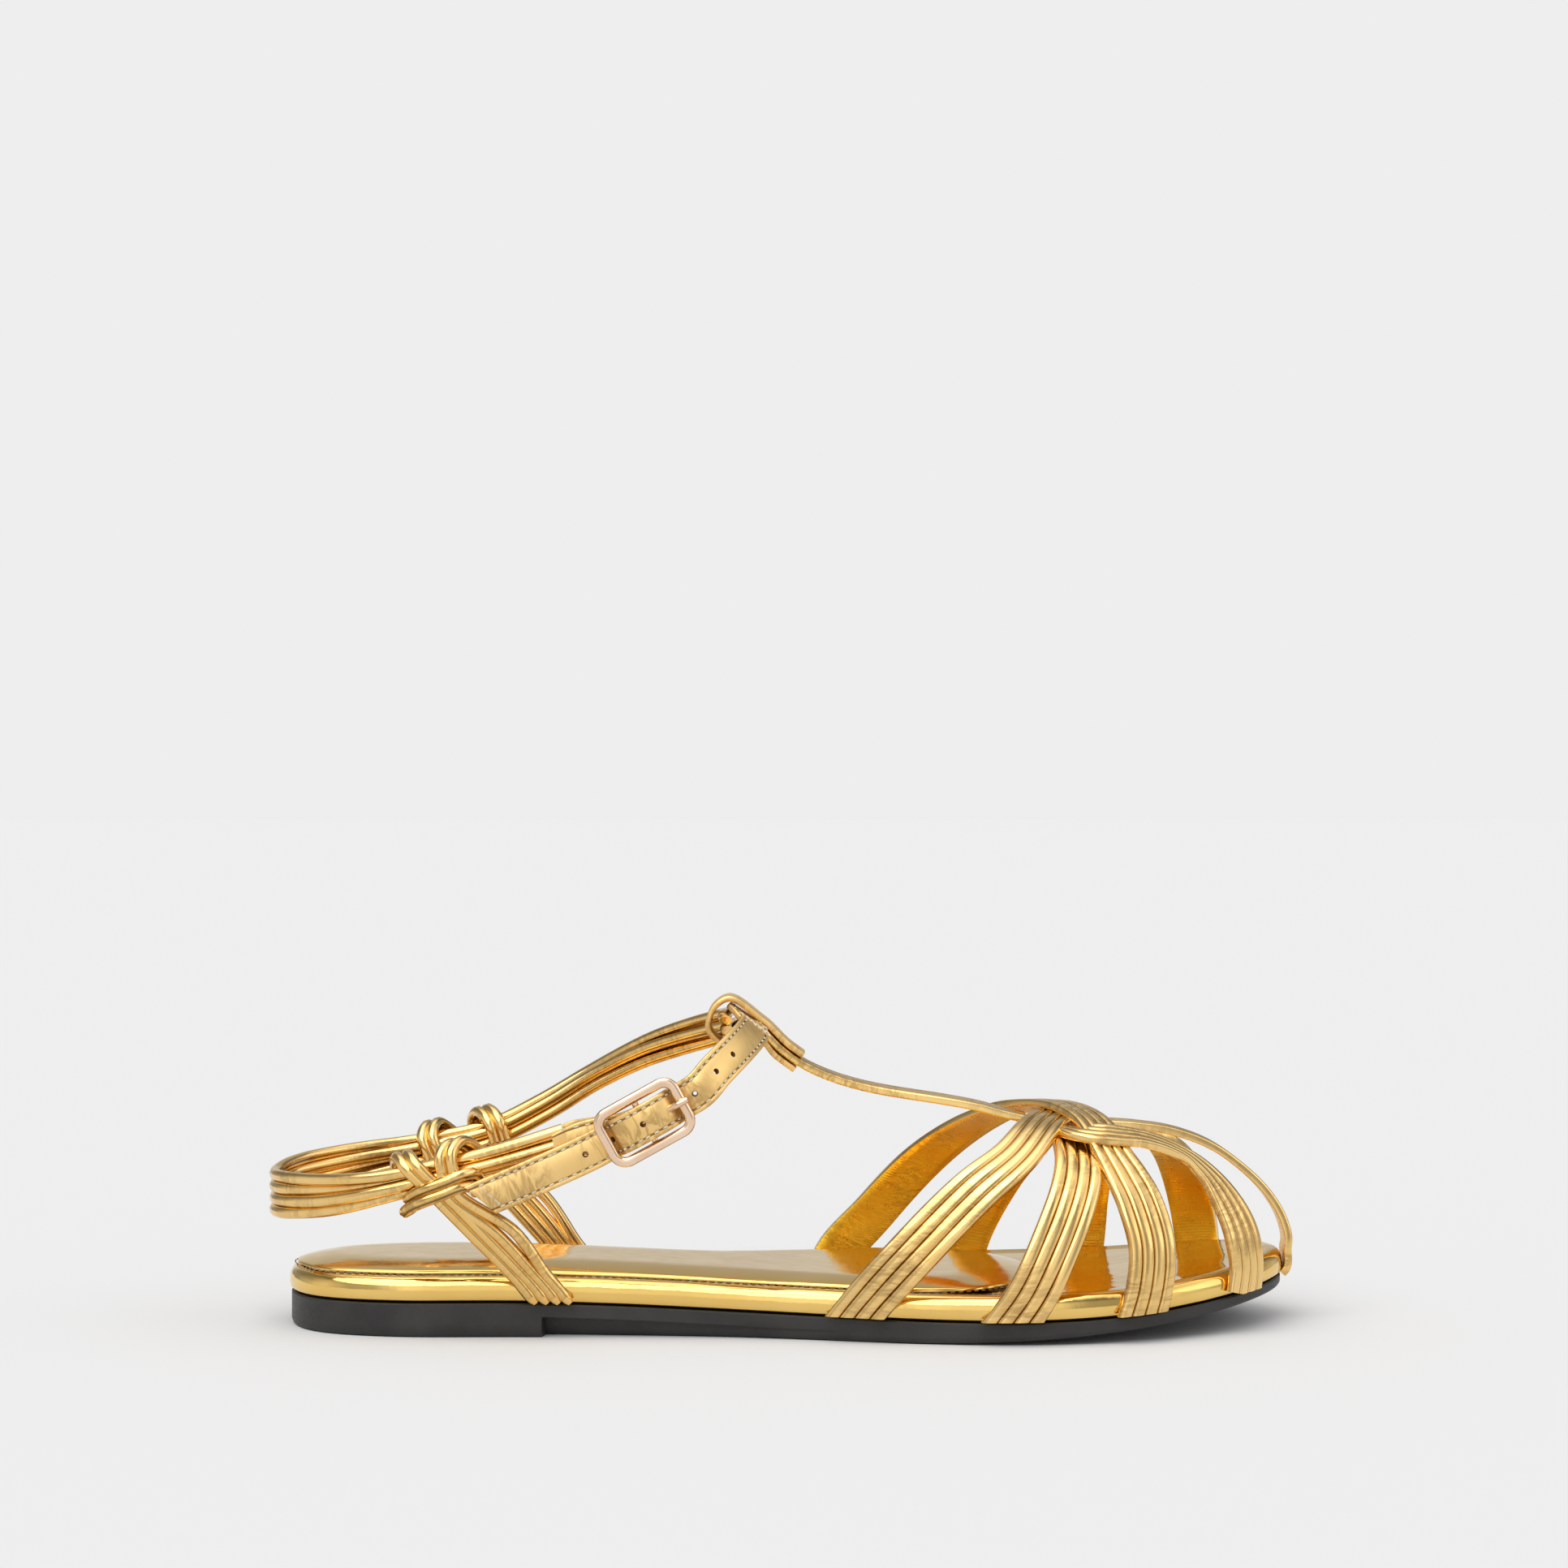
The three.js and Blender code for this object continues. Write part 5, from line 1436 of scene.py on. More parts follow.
class SandalColours(bpy.types.PropertyGroup):
    """Colours of the sandal and the floor"""

    gold_pale: colour("Pale gold", "Folded straps where the foil is full", (0.91, 0.63, 0.26))
    gold_deep: colour("Deep gold", "Folded straps where the foil is worn", (0.82, 0.5, 0.14))
    # Painted shade for the grooves, cord seams, channels under stitches and creases of the gold leather; also
    # the dark fibre tone of raw edges.
    groove_shade_and_fibre: colour("Burnt gold", "Grooves and creases", (0.17, 0.065, 0.012))
    lining: colour("Lining", "Inside of the straps", (0.95, 0.6, 0.045))
    lining_deep: colour("Deep lining", "Darker patches of the lining", (0.85, 0.44, 0.02))
    wrap_pale: colour("Pale wrap", "Footbed and pad where the foil is full", (0.9, 0.62, 0.2))
    wrap_deep: colour("Deep wrap", "Footbed and pad where the foil is deeper", (0.84, 0.55, 0.16))
    rubber: colour("Rubber", "Outsole", (0.018, 0.0165, 0.016))
    rubber_worn: colour("Worn rubber", "Paler patches of the outsole", (0.032, 0.03, 0.029))
    buckle: colour("Buckle", "Buckle metal", (0.92, 0.7, 0.52))
    buckle_deep: colour("Deep buckle", "Darker patches of the buckle", (0.82, 0.56, 0.38))
    thread: colour("Thread", "Stitches", (0.86, 0.72, 0.48))
    brown_thread: colour("Brown thread", "Stitches round the pad", (0.3, 0.15, 0.04))
    edge: colour("Raw edge", "Cut edges and holes", (0.14, 0.06, 0.02))
    floor: colour("Floor", "Paper under the sandal", (0.722, 0.722, 0.722))


class SandalSizes(bpy.types.PropertyGroup):
    """Sizes of the surface detail"""

    fold_depth: length("Fold depth", "Groove between two folds of a strap", 1.15)
    crease_depth: length("Crease depth", "Depth of fine creases in the leather", 0.05)
    ripple_depth: length("Ripple depth", "Depth of slow ripples in the wrapped foil", 0.35)
    cord_seam: length("Cord seam", "Depth of the seam along a cord", 0.22)
    stitch_pitch: length("Stitch pitch", "Distance from stitch to stitch", 2.1)
    stitch_length: length("Stitch length", "Length of one stitch", 1.45)
    thread_width: length("Thread width", "Width of one stitch", 0.56)
    stitch_inset: length("Stitch inset", "Edge of the band to its stitches", 1.25)


class StudioSettings(bpy.types.PropertyGroup):
    """Camera and light"""

    camera_distance: FloatProperty(
        name="Camera distance",
        description="Camera to the middle of the sandal",
        default=0.845,
        min=0.2,
        unit="LENGTH",
    )
    camera_height: FloatProperty(
        name="Camera height",
        description="Floor to the camera",
        default=0.1337,
        unit="LENGTH",
    )
    key_strength: FloatProperty(
        name="Key light",
        description="Strength of the key light",
        default=1.7,
        min=0,
    )
    fill_strength: FloatProperty(
        name="Fill light",
        description="Strength of the even light",
        default=0.62,
        min=0,
    )


# Operators, one for each group of like pieces
class SandalOperator:
    """What every building operator shares"""

    bl_options = {"REGISTER", "UNDO"}

    def execute(self, context):
        scene = context.scene
        if not FINISHES:
            make_finishes(scene.sandal_colours, scene.sandal_sizes)
        self.build(scene.sandal_sizes)
        return {"FINISHED"}


class SANDAL_OT_outsole(SandalOperator, bpy.types.Operator):
    """Builds the outsole with its heel, stepped shank and treaded underside"""

    bl_idname = "sandal.outsole"
    bl_label = "Outsole"

    def build(self, sizes):
        breast = turn_at(HEEL_LENGTH / LENGTH)
        shank_end = turn_at(SHANK_END)
        turns = sorted([i / 90 for i in range(91)] + [breast - 0.001, breast + 0.001])
        stations = outline_ring(turns)

        def inset_at(turn):
            if turn < breast or turn > shank_end:
                return SOLE_INSET
            return SOLE_INSET + SHANK_INSET * (shank_end - turn) / (shank_end - breast)

        def floor_at(turn):
            return tread_height(along_at(turn))

        def flange_under(turn):
            tread = floor_at(turn)
            return max(seat_height(turn) - FLANGE_THICK, tread + 0.45 * (seat_height(turn) - tread))

        def bevel_at(turn):
            return min(TREAD_BEVEL, 0.3 * (seat_height(turn) - floor_at(turn)))

        levels = [
            lambda turn: (inset_at(turn) + TREAD_BEVEL, floor_at(turn)),
            lambda turn: (inset_at(turn) + TREAD_BEVEL * 0.35, floor_at(turn) + bevel_at(turn) * 0.25),
            lambda turn: (inset_at(turn), floor_at(turn) + bevel_at(turn)),
            lambda turn: (inset_at(turn), mix(floor_at(turn), flange_under(turn), 0.7)),
            lambda turn: (inset_at(turn), flange_under(turn) - 0.15),
            lambda turn: (mix(inset_at(turn), SOLE_INSET, 0.2), flange_under(turn)),
            lambda turn: (mix(inset_at(turn), SOLE_INSET, 0.9), flange_under(turn)),
            lambda turn: (SOLE_INSET, flange_under(turn) + 0.25),
            lambda turn: (SOLE_INSET, mix(flange_under(turn), seat_height(turn), 0.5)),
            lambda turn: (SOLE_INSET, seat_height(turn) - 0.35),
            lambda turn: (SOLE_INSET + 0.35, seat_height(turn)),
        ]

        def place(i, j):
            station = stations[i]
            if j == 0 or j == len(levels) + 1:
                turn, x, y = spine_place(station, SPINE_ROOM)
                return Vector((x, y, floor_at(turn) if j == 0 else seat_height(turn)))
            inset, height = levels[j - 1](station[0])
            x, y = ring_place(station, inset)
            return Vector((x, y, height))

        bm = bmesh.new()
        lay_grid(bm, len(stations), len(levels) + 1, place, slot_of=lambda i, j: 1 if j == 0 else 0)
        piece("outsole_rubber", bm, [FINISHES["rubber"], FINISHES["tread"]], "outsole", 28)


class SANDAL_OT_footbed(SandalOperator, bpy.types.Operator):
    """Builds the foil wrapped footbed"""

    bl_idname = "sandal.footbed"
    bl_label = "Footbed"

    def build(self, sizes):
        stations = outline_ring([i / 100 for i in range(101)])

        def height(turn, up):
            return seat_height(turn) + GAP + up * (FOOTBED_THICK - GAP)

        def place(i, j):
            station = stations[i]
            if j == 0 or j == len(RIM) + 1:
                turn, x, y = spine_place(station, SPINE_ROOM)
                return Vector((x, y, height(turn, 0 if j == 0 else 0.94)))
            row = RIM[j - 1]
            x, y = ring_place(station, row["inset"])
            return Vector((x, y, height(station[0], row["up"])))

        bm = bmesh.new()
        lay_grid(bm, len(stations), len(RIM) + 1, place)
        piece("footbed_wrap", bm, [FINISHES["wrap"]], "footbed")


def pad_place(station, first, last, inset, up):
    """A point of the pad's edge, with both ends rounded off along a quarter circle."""
    turn = station[0]
    near = min(turn - first, last - turn) / PAD_ROUND
    pinch = 0 if near >= 1 else 1 - math.sqrt(max(0, 1 - (1 - near) ** 2))
    _, y = ring_place(station, PAD_INSET + inset)
    start = x_at(along_at(first))
    end = x_at(along_at(last))
    centre = (start + end) / 2
    x = centre + (x_at(along_at(turn)) - centre) * (1 - 2 * inset / (end - start))
    height = rim_height(turn) + GAP + up * (PAD_THICK - GAP)
    return Vector((x, mix(y, middle_at(turn), pinch), height))


class SANDAL_OT_pad(SandalOperator, bpy.types.Operator):
    """Builds the cushioned pad and the stitches round its edge"""

    bl_idname = "sandal.pad"
    bl_label = "Insole pad"

    def build(self, sizes):
        first = PAD_START
        last = turn_at(PAD_END)
        turns = [first + (last - first) * (1 - math.cos(math.pi * i / 90)) / 2 for i in range(91)]
        stations = outline_ring(turns)

        def place(i, j):
            station = stations[i]
            if j == 0 or j == len(PAD_EDGE) + 1:
                up = 0 if j == 0 else 1
                turn = min(last - PAD_SPINE_END, max(first + PAD_SPINE_START, station[0]))
                height = rim_height(turn) + GAP + up * (PAD_THICK - GAP)
                return Vector((x_at(along_at(turn)), middle_at(turn), height))
            row = PAD_EDGE[j - 1]
            return pad_place(station, first, last, row["inset"], row["up"])

        bm = bmesh.new()
        lay_grid(bm, len(stations), len(PAD_EDGE) + 1, place)
        pad = piece("insole_cushion", bm, [FINISHES["pad"]], "insole_pad", 60)
        points = [
            pad_place(station, first, last, -PAD_STITCH_OUT, -PAD_STITCH_SINK) for station in stations
        ]
        path = Curve(points + points[:1])
        pitch = sizes.stitch_pitch / MM
        size = stitch_size(sizes, THREAD_HEIGHT)
        count = int(path.length() / pitch)
        bm = bmesh.new()
        for number in range(count):
            t = path.share_at(path.length() * number / count)
            add_stitch(bm, path.point(t), path.tangent(t), UP, size)
        piece("insole_stitches", bm, [FINISHES["brown_thread"]], None)


class SANDAL_OT_cage(SandalOperator, bpy.types.Operator):
    """Builds the woven cage of folded straps over the toes"""

    bl_idname = "sandal.cage"
    bl_label = "Woven cage"

    def build(self, sizes):
        section = folded_section(sizes.fold_depth / MM)
        bm = bmesh.new()
        for rows in CAGE.values():
            lay_cage_strap(bm, rows, section, 96)
        lay_folded_ribbon(bm, ribbon_frames(toe_strap_rows(), 70), section)
        materials = [FINISHES["strap"], FINISHES["lining"]]
        piece("cage_folded_straps", bm, materials, "cage_straps", 50)


class SANDAL_OT_instep(SandalOperator, bpy.types.Operator):
    """Builds the instep strap and the folded loop at its top"""

    bl_idname = "sandal.instep"
    bl_label = "Instep strap and loop"

    def build(self, sizes):
        section = folded_section(sizes.fold_depth / MM)
        curve = instep_curve()
        rows = []
        for i in range(13):
            t = curve.share_at(curve.length() * i / 12)
            tangent = curve.tangent(t)
            rows.append((curve.point(t), Vector((tangent.z, 0, -tangent.x)), STRAP_WIDTH))
        bm = bmesh.new()
        lay_folded_ribbon(bm, ribbon_frames(rows, 80), section)
        materials = [FINISHES["strap"], FINISHES["lining"]]
        piece("instep_folded_strap", bm, materials, "instep_strap", 50)
        bm = bmesh.new()
        lay_ribbon(bm, ribbon_frames(loop_rows(), 90), flat_section(LOOP_WIDTH, LOOP_THICK, 0.5))
        piece("instep_leather_loop", bm, [FINISHES["band"]], "instep_loop")


class SANDAL_OT_ankle_cords(SandalOperator, bpy.types.Operator):
    """Builds the four cords round the ankle"""

    bl_idname = "sandal.ankle_cords"
    bl_label = "Ankle cords"

    def build(self, sizes):
        bm = bmesh.new()
        for number in range(CORDS):
            points = []
            for i in range(4 * (len(ROUTE) - 1) + 1):
                point, _, up, out, fan = ankle_frame(i / 4)
                rise = (number - (CORDS - 1) / 2) * CORD_PITCH * fan
                bunch = bunch_of(fan)
                points.append(point + up * rise + out * (bunch if number % 2 else -bunch))
            first = -ankle_frame(0)[3]
            lay_cord(bm, points, CORD, sizes.cord_seam / MM, 170, lean=0.15 * number, first=first)
        piece("ankle_leather_cords", bm, [FINISHES["cord"]], "ankle_cords", 50)


class SANDAL_OT_ties(SandalOperator, bpy.types.Operator):
    """Builds the side cords and their knots round the ankle cords"""

    bl_idname = "sandal.ties"
    bl_label = "Side cords"

    def build(self, sizes):
        seam = sizes.cord_seam / MM
        for name, tie in TIES.items():
            point, tangent, up, out, fan = ankle_frame(tie["knot"])
            ahead = tangent * math.copysign(1, tangent.x)
            clear = GAP + CORD / 2
            half_height = 1.5 * CORD_PITCH * fan + CORD / 2 + clear
            half_thick = bunch_of(fan) + CORD / 2 + clear

            def placed(row, shift, lean=0.0, rise=0.0):
                return (
                    point
                    + ahead * ((row["lean"] + lean) * KNOT_HALF_LENGTH + shift)
                    + out * (row["out"] * half_thick)
                    + up * ((row["up"] + rise) * half_height)
                )

            bm = bmesh.new()
            foot = tie["foot"]
            seat = seat_height(turn_at(foot))
            for number in range(CORDS):
                order = number - (CORDS - 1) / 2
                start = []
                for rise in (2 * GAP, 0.5 * FOOTBED_THICK, FOOTBED_THICK + 1):
                    along = foot + (order * 0.92 * CORD - TIE_LEAN * rise) / LENGTH
                    x, y = outline_point(turn_at(along), tie["side"], -GAP - CORD / 2)
                    start.append(Vector((x, y, seat + rise)))
                rows = KNOT_BACK if order < 0 else KNOT_FRONT
                nest = (order + 1 if order < 0 else order - 1) * CORD * 0.9
                turns = [placed(row, nest) for row in rows]
                lower = start[2].lerp(turns[0], 0.5) + ahead * (TIE_BOW * max(0, order + 0.5))
                inward = Vector((0, -tie["side"], 0))
                lay_cord(bm, [*start, lower, *turns], CORD, seam, 60, lean=0.3, first=inward, tuck=True)
            for wrap in WRAPS:
                points = [placed(row, 0, wrap["lean"], wrap["up"]) for row in KNOT_WRAP]
                lay_cord(bm, points, CORD, seam, 36, lean=0.3, first=-out)
            piece(f"{name}_side_cords", bm, [FINISHES["cord"]], f"{name}_tie", 50)


def punch_holes(target, spots):
    """Cuts holes that narrow towards the back. spots hold a point and the direction out of the front."""
    bm = bmesh.new()
    for point, direction in spots:
        verts = bmesh.ops.create_cone(
            bm,
            cap_ends=True,
            segments=20,
            radius1=HOLE * 0.2 * MM,
            radius2=HOLE * 0.62 * MM,
            depth=2.4 * BAND_THICK * MM,
        )["verts"]
        turned = UP.rotation_difference(direction).to_matrix().to_4x4()
        turned.translation = point * MM
        bmesh.ops.transform(bm, matrix=turned, verts=verts)
    mesh = bpy.data.meshes.new("punch")
    bm.to_mesh(mesh)
    bm.free()
    punch = bpy.data.objects.new("punch", mesh)
    mesh.materials.append(FINISHES["band"])
    mesh.materials.append(FINISHES["edge"])
    for face in mesh.polygons:
        face.material_index = 1
    bpy.context.scene.collection.objects.link(punch)
    cut = target.modifiers.new("Holes", "BOOLEAN")
    cut.operation = "DIFFERENCE"
    cut.solver = "EXACT"
    cut.object = punch
    view = bpy.context.evaluated_depsgraph_get()
    done = bpy.data.meshes.new_from_object(target.evaluated_get(view))
    target.modifiers.clear()
    target.data = done
    bpy.data.objects.remove(punch)
    bm = bmesh.new()
    bm.from_mesh(done)
    for edge in bm.edges:
        edge.smooth = edge.calc_face_angle(0) < 40 * DEGREE
    bm.to_mesh(done)
    bm.free()


class SANDAL_OT_band(SandalOperator, bpy.types.Operator):
    """Builds the buckle strap with its holes and stitches"""

    bl_idname = "sandal.band"
    bl_label = "Buckle strap"

    def build(self, sizes):
        centre, run, out, across = buckle_axes()
        frames = ribbon_frames(band_rows(), 240)
        bm = bmesh.new()
        section = stitched_section(BAND_WIDTH, BAND_THICK, 0.35, sizes.stitch_inset / MM)
        lay_ribbon(bm, frames, section, groove_of=lambda i: section[i][2])
        cut_point = centre + run * (TAIL_RISE / 2 - TAIL_LENGTH) + across * TAIL_RISE
        cut_way = run * math.cos(TAIL_CUT * DEGREE) + across * math.sin(TAIL_CUT * DEGREE)
        cut = bmesh.ops.bisect_plane(
            bm,
            geom=list(bm.verts) + list(bm.edges) + list(bm.faces),
            plane_co=cut_point * MM,
            plane_no=-cut_way,
            clear_outer=True,
        )
        rim = [item for item in cut["geom_cut"] if isinstance(item, bmesh.types.BMEdge)]
        bmesh.ops.holes_fill(bm, edges=rim, sides=0)
        materials = [FINISHES["band"], FINISHES["edge"]]
        band = piece("buckle_leather_strap", bm, materials, "buckle_strap")
        spots = []
        for i in range(1, TAIL_HOLES + 1):
            place = PRONG_HOLE - i * HOLE_PITCH
            near = min(frames, key=lambda frame: abs((frame[0] - centre).dot(run) - place))
            spots.append((near[0], near[2]))
        spots.append((centre + run * PRONG_HOLE, out))
        path = Curve([row[0] for row in band_rows()])
        past_bar = next(t for t in (i / 400 for i in range(401)) if path.point(t).x > centre.x)
        samples = path.measured()
        travelled = samples[min(CURVE_SAMPLES, int(past_bar * len(samples)))]
        for i in range(1, FRONT_HOLES + 1):
            t = path.share_at(travelled + PRONG_HOLE + i * HOLE_PITCH)
            near = frames[round(t * (len(frames) - 1))]
            spots.append((near[0], near[2]))
        punch_holes(band, spots)
        self.stitch(sizes, path, frames, cut_point, cut_way)

    def stitch(self, sizes, path, frames, cut_point, cut_way):
        bm = bmesh.new()
        pitch = sizes.stitch_pitch / MM
        size = stitch_size(sizes)
        edge = BAND_WIDTH / 2 - sizes.stitch_inset / MM
        count = int(path.length() / pitch)
        for number in range(count):
            t = path.share_at(path.length() * number / count)
            centre, tangent, normal, side, _ = frames[round(t * (len(frames) - 1))]
            for way in (-1, 1):
                point = centre + side * (way * edge) + normal * (BAND_THICK / 2)
                if (point - cut_point).dot(cut_way) > 1.6:
                    add_stitch(bm, point, tangent, normal, size)
        first = next(f for f in frames if (f[0] - cut_point).dot(cut_way) > 1.4)
        for step in (-0.75, 0, 0.75):
            across = (first[3] - cut_way * first[3].dot(cut_way)).normalized()
            point = first[0] + across * (step * edge * 0.9) + first[2] * (BAND_THICK / 2)
            add_stitch(bm, point, across, first[2], (END_STITCH, *size[1:]))
        centre, tangent, normal, side, _ = frames[round(TACK_AT * (len(frames) - 1))]
        for number in range(TACK_STITCHES):
            way = 1 if number % 2 else -1
            shift = (number / (TACK_STITCHES - 1) - 0.5) * TACK_WIDTH
            point = centre + side * shift + normal * (BAND_THICK / 2)
            slant = (tangent + side * (TACK_SLANT * way)).normalized()
            add_stitch(bm, point, slant, normal, TACK_STITCH)
        piece("buckle_strap_stitches", bm, [FINISHES["thread"]], None)


class SANDAL_OT_tab(SandalOperator, bpy.types.Operator):
    """Builds the folded tab that holds the buckle"""

    bl_idname = "sandal.tab"
    bl_label = "Buckle tab"

    def build(self, sizes):
        frames = ribbon_frames(tab_rows(), 110)
        for j in range(TAB_ROUND):
            narrow = 0.55 + 0.45 * math.sin(j / TAB_ROUND * math.pi / 2)
            for at in (j, len(frames) - 1 - j):
                frames[at] = (*frames[at][:4], frames[at][4] * narrow)
        bm = bmesh.new()
        section = stitched_section(TAB_WIDTH, TAB_THICK, 0.3, TAB_STITCH_INSET)
        lay_ribbon(bm, frames, section, groove_of=lambda i: section[i][2])
        piece("buckle_leather_tab", bm, [FINISHES["band"]], "buckle_tab")
        bm = bmesh.new()
        size = stitch_size(sizes)
        edge = TAB_WIDTH / 2 - TAB_STITCH_INSET
        for number in range(10):
            centre, tangent, normal, side, _ = frames[3 + number * 3]
            for way in (-1, 1):
                point = centre + side * (way * edge) + normal * (TAB_THICK / 2)
                add_stitch(bm, point, tangent, normal, size)
        piece("buckle_tab_stitches", bm, [FINISHES["thread"]], None)


class SANDAL_OT_buckle(SandalOperator, bpy.types.Operator):
    """Builds the buckle's rounded frame with its bar, and the prong"""

    bl_idname = "sandal.buckle"
    bl_label = "Buckle"

    def build(self, sizes):
        corner = BUCKLE_CORNER - BUCKLE_WIRE / 2
        half_x = (BUCKLE_LENGTH - BUCKLE_WIRE) / 2
        half_y = (BUCKLE_ACROSS - BUCKLE_WIRE) / 2
        path = []
        for quarter, (sx, sy) in enumerate(((1, -1), (1, 1), (-1, 1), (-1, -1))):
            for step in range(9):
                angle = (quarter - 1 + step / 8) * math.pi / 2
                way = Vector((math.cos(angle), math.sin(angle), 0))
                middle = Vector((sx * (half_x - corner), sy * (half_y - corner), 0))
                path.append((middle + way * corner, way))
        wire = []
        for step in range(16):
            angle = step * math.pi / 8
            x = math.copysign(abs(math.cos(angle)) ** 0.85, math.cos(angle)) * BUCKLE_WIRE / 2
            z = math.copysign(abs(math.sin(angle)) ** 0.85, math.sin(angle)) * BUCKLE_THICK * 0.6
            wire.append((x, z))
        placed = buckle_matrix()

        def place(i, j):
            point, way = path[j]
            return point + way * wire[i][0] + UP * wire[i][1]

        bm = bmesh.new()
        lay_grid(bm, len(wire), len(path), place, ring=True)
        bar = bmesh.ops.create_cone(
            bm,
            cap_ends=True,
            segments=20,
            radius1=BAR / 2 * MM,
            radius2=BAR / 2 * MM,
            depth=(BUCKLE_ACROSS - 2 * BUCKLE_WIRE + 1) * MM,
            matrix=Matrix.Translation((0, 0, -BAR_DEPTH * MM)) @ Matrix.Rotation(math.pi / 2, 4, "X"),
        )["verts"]
        for face in {face for vert in bar for face in vert.link_faces}:
            face.smooth = len(face.verts) == 4
        for end in (-1, 1):
            depth = BAR_DEPTH + BAR / 2
            scale = Matrix.Diagonal((BAR * MM, BUCKLE_WIRE * 0.9 * MM, depth * MM, 1))
            shift = Matrix.Translation((0, end * (BUCKLE_ACROSS - BUCKLE_WIRE) * 0.5 * MM, -depth / 2 * MM))
            ear = bmesh.ops.create_cube(bm, size=1, matrix=shift @ scale)["verts"]
            edges = list({edge for vert in ear for edge in vert.link_edges})
            bmesh.ops.bevel(
                bm,
                geom=edges,
                offset=0.3 * MM,
                affect="EDGES",
                segments=3,
                profile=0.5,
                material=-1,
            )
        bmesh.ops.transform(bm, matrix=placed, verts=bm.verts)
        piece("buckle_metal_frame", bm, [FINISHES["metal"]], "buckle_frame")
        bm = bmesh.new()
        points = [
            Vector((0, 0, PRONG_RING - BAR_DEPTH)),
            Vector((PRONG_TIP * 0.34, 0, -0.05)),
            Vector((PRONG_TIP * 0.56, 0, PRONG_REST * 0.25)),
            Vector((PRONG_TIP * 0.78, 0, PRONG_REST)),
            Vector((PRONG_TIP, 0, PRONG_REST)),
        ]
        lay_cord(bm, points, PRONG * 1.2, 0, 40, taper=0.2)

        def round_ring(i, j):
            turn = 2 * math.pi * j / 24
            round_wire = 2 * math.pi * i / 12
            reach = PRONG_RING + PRONG / 2 * math.cos(round_wire)
            x = reach * math.cos(turn)
            z = reach * math.sin(turn) - BAR_DEPTH
            return Vector((x, PRONG / 2 * math.sin(round_wire), z))

        lay_grid(bm, 12, 24, round_ring, ring=True)
        bmesh.ops.transform(bm, matrix=placed, verts=bm.verts)
        piece("buckle_metal_prong", bm, [FINISHES["metal"]], "buckle_prong")


# Levels of the light that the gold reflects: by height behind and in front of the sandal, and side to side
BEHIND_BANDS = ((0.5, 0.64), (0.57, 0.62), (0.66, 0.45), (0.87, 0.42), (0.93, 1.0), (1.0, 1.9))
FRONT_BANDS = ((0.5, 0.9), (0.6, 1.0), (0.76, 0.95), (0.86, 0.35), (0.92, 0.4), (0.96, 1.2), (1.0, 1.9))
SIDE_BANDS = (
    (0.0, 1.0),
    (0.14, 0.5),
    (0.24, 0.55),
    (0.33, 1.25),
    (0.45, 1.05),
    (0.6, 1.05),
    (0.7, 0.45),
    (0.8, 0.4),
    (0.88, 1.0),
    (1.0, 0.7),
)


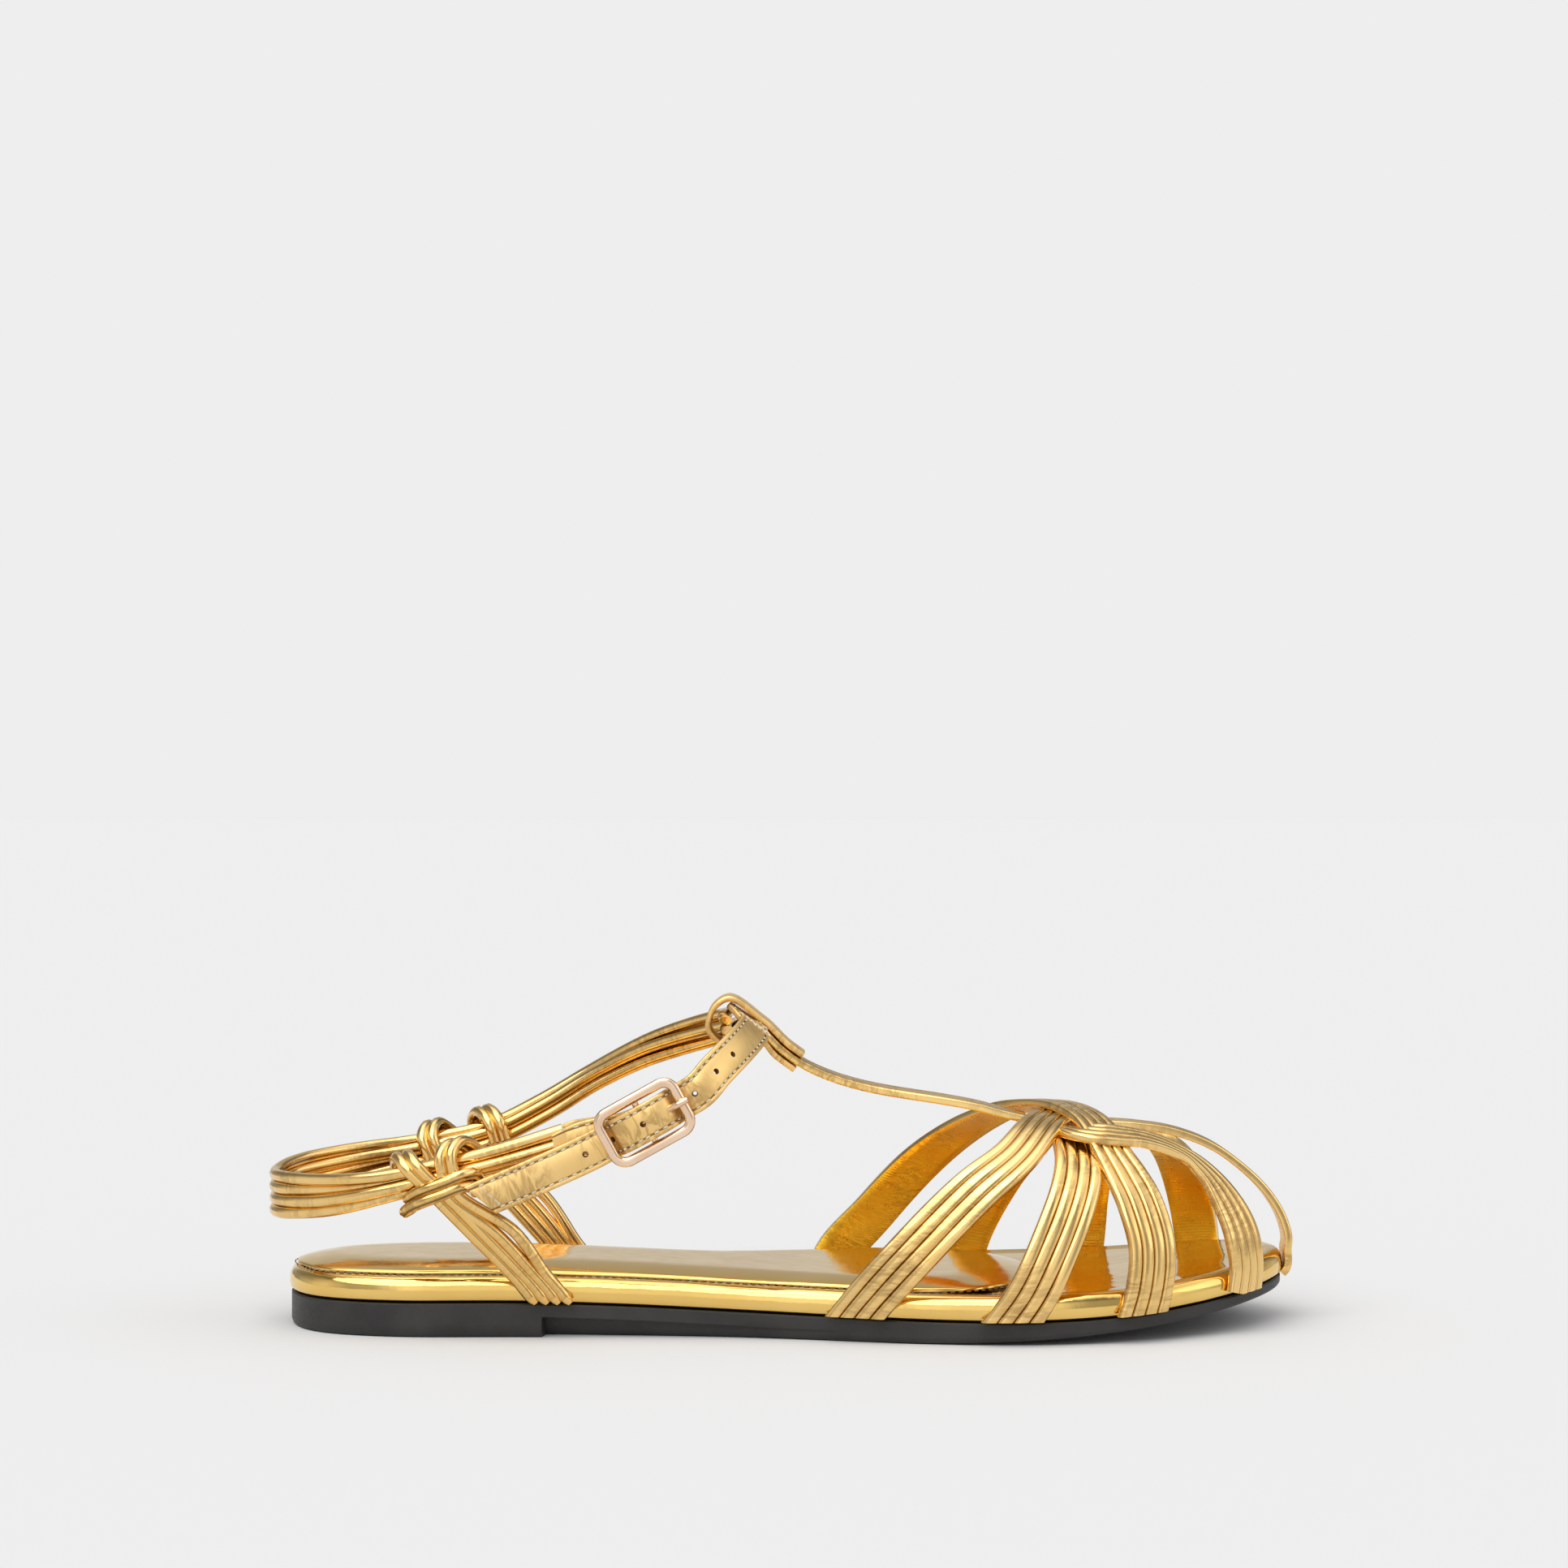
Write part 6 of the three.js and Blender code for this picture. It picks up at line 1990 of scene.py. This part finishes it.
class SANDAL_OT_stage(SandalOperator, bpy.types.Operator):
    """Lays the floor and sets the lights and the camera"""

    bl_idname = "sandal.stage"
    bl_label = "Stage"

    def build(self, sizes):
        scene = bpy.context.scene
        studio = scene.sandal_studio
        scene.view_settings.view_transform = "Standard"
        bm = bmesh.new()
        bmesh.ops.create_grid(bm, x_segments=2, y_segments=2, size=FLOOR_HALF)
        mesh = bpy.data.meshes.new("floor_paper")
        bm.to_mesh(mesh)
        bm.free()
        mesh.materials.append(FINISHES["floor"])
        floor = bpy.data.objects.new("floor_paper", mesh)
        scene.collection.objects.link(floor)
        self.world(scene, studio)
        for name, strength, spread, way in (
            ("key", studio.key_strength, 60, Vector((0.35, 0.55, -1.0))),
            ("side", studio.key_strength * 0.35, 60, Vector((-0.9, 0.15, -0.75))),
        ):
            light = bpy.data.lights.new(name, "SUN")
            light.energy = strength
            light.angle = spread * DEGREE
            lamp = bpy.data.objects.new(name, light)
            lamp.rotation_euler = way.to_track_quat("-Z", "Y").to_euler()
            scene.collection.objects.link(lamp)
        data = bpy.data.cameras.new("photo_camera")
        data.lens = LENS
        data.sensor_width = SENSOR
        data.clip_start = 0.01
        data.clip_end = 100
        camera = bpy.data.objects.new("photo_camera", data)
        camera.location = (CAMERA_ALONG, -studio.camera_distance, studio.camera_height)
        camera.rotation_euler = (math.pi / 2, 0, 0)
        scene.collection.objects.link(camera)
        scene.camera = camera

    def world(self, scene, studio):
        world = bpy.data.worlds.new("Studio")
        world.use_nodes = True
        scene.world = world
        world.node_tree.nodes.clear()
        nodes = Nodes(world.node_tree)
        path = nodes.add("ShaderNodeLightPath")
        place = nodes.add("ShaderNodeTexCoord")
        split = nodes.add("ShaderNodeSeparateXYZ")
        nodes.link(place.outputs["Generated"], split.inputs[0])
        height = nodes.span(split.outputs["Z"], -1.0, 1.0)
        behind = self.bands(nodes, height, BEHIND_BANDS)
        front = self.bands(nodes, height, FRONT_BANDS)
        facing = nodes.span(split.outputs["Y"], -0.35, 0.25)
        around = nodes.blend(facing, front, behind)
        sideways = nodes.span(split.outputs["X"], -1.0, 1.0)
        left = self.bands(nodes, sideways, SIDE_BANDS)
        seen = nodes.blend(1.0, around, left, "MULTIPLY")
        even = (studio.fill_strength,) * 3 + (1,)
        glossy = nodes.blend(path.outputs["Is Glossy Ray"], even, seen)
        backdrop = nodes.blend(path.outputs["Is Camera Ray"], glossy, (BACKDROP, BACKDROP, BACKDROP, 1))
        shader = nodes.add("ShaderNodeBackground")
        nodes.link(backdrop, shader.inputs["Color"])
        output = nodes.add("ShaderNodeOutputWorld")
        nodes.link(shader.outputs[0], output.inputs["Surface"])

    def bands(self, nodes, height, stops):
        """Levels of grey light by height, from pairs of height and level."""
        ramp = nodes.add("ShaderNodeValToRGB")
        elements = ramp.color_ramp.elements
        for stop, (position, level) in zip((elements[0], elements[1]), (stops[0], stops[-1])):
            stop.position = position
            stop.color = (level, level, level, 1)
        for position, level in stops[1:-1]:
            stop = elements.new(position)
            stop.color = (level, level, level, 1)
        nodes.link(height, ramp.inputs["Fac"])
        return ramp.outputs["Color"]


OPERATORS = (
    SANDAL_OT_outsole,
    SANDAL_OT_footbed,
    SANDAL_OT_pad,
    SANDAL_OT_cage,
    SANDAL_OT_instep,
    SANDAL_OT_ankle_cords,
    SANDAL_OT_ties,
    SANDAL_OT_tab,
    SANDAL_OT_buckle,
    SANDAL_OT_band,
    SANDAL_OT_stage,
)


class SANDAL_PT_panel(bpy.types.Panel):
    """Lists the sandal's pieces, sizes and colours"""

    bl_label = "Sandal"
    bl_idname = "SANDAL_PT_panel"
    bl_space_type = "VIEW_3D"
    bl_region_type = "UI"
    bl_category = "Sandal"

    def draw(self, context):
        layout = self.layout
        for operator in OPERATORS:
            layout.operator(operator.bl_idname)
        scene = context.scene
        for group in (scene.sandal_sizes, scene.sandal_colours, scene.sandal_studio):
            box = layout.box()
            for key in group.__annotations__:
                box.prop(group, key)


CLASSES = (SandalColours, SandalSizes, StudioSettings, *OPERATORS, SANDAL_PT_panel)


def register():
    for item in CLASSES:
        bpy.utils.register_class(item)
    bpy.types.Scene.sandal_colours = PointerProperty(type=SandalColours)
    bpy.types.Scene.sandal_sizes = PointerProperty(type=SandalSizes)
    bpy.types.Scene.sandal_studio = PointerProperty(type=StudioSettings)


def unregister():
    del bpy.types.Scene.sandal_studio
    del bpy.types.Scene.sandal_sizes
    del bpy.types.Scene.sandal_colours
    for item in reversed(CLASSES):
        bpy.utils.unregister_class(item)


def main():
    register()
    bpy.ops.sandal.outsole()
    bpy.ops.sandal.footbed()
    bpy.ops.sandal.pad()
    bpy.ops.sandal.cage()
    bpy.ops.sandal.instep()
    bpy.ops.sandal.ankle_cords()
    bpy.ops.sandal.ties()
    bpy.ops.sandal.tab()
    bpy.ops.sandal.buckle()
    bpy.ops.sandal.band()
    bpy.ops.sandal.stage()


if __name__ == "__main__":
    main()
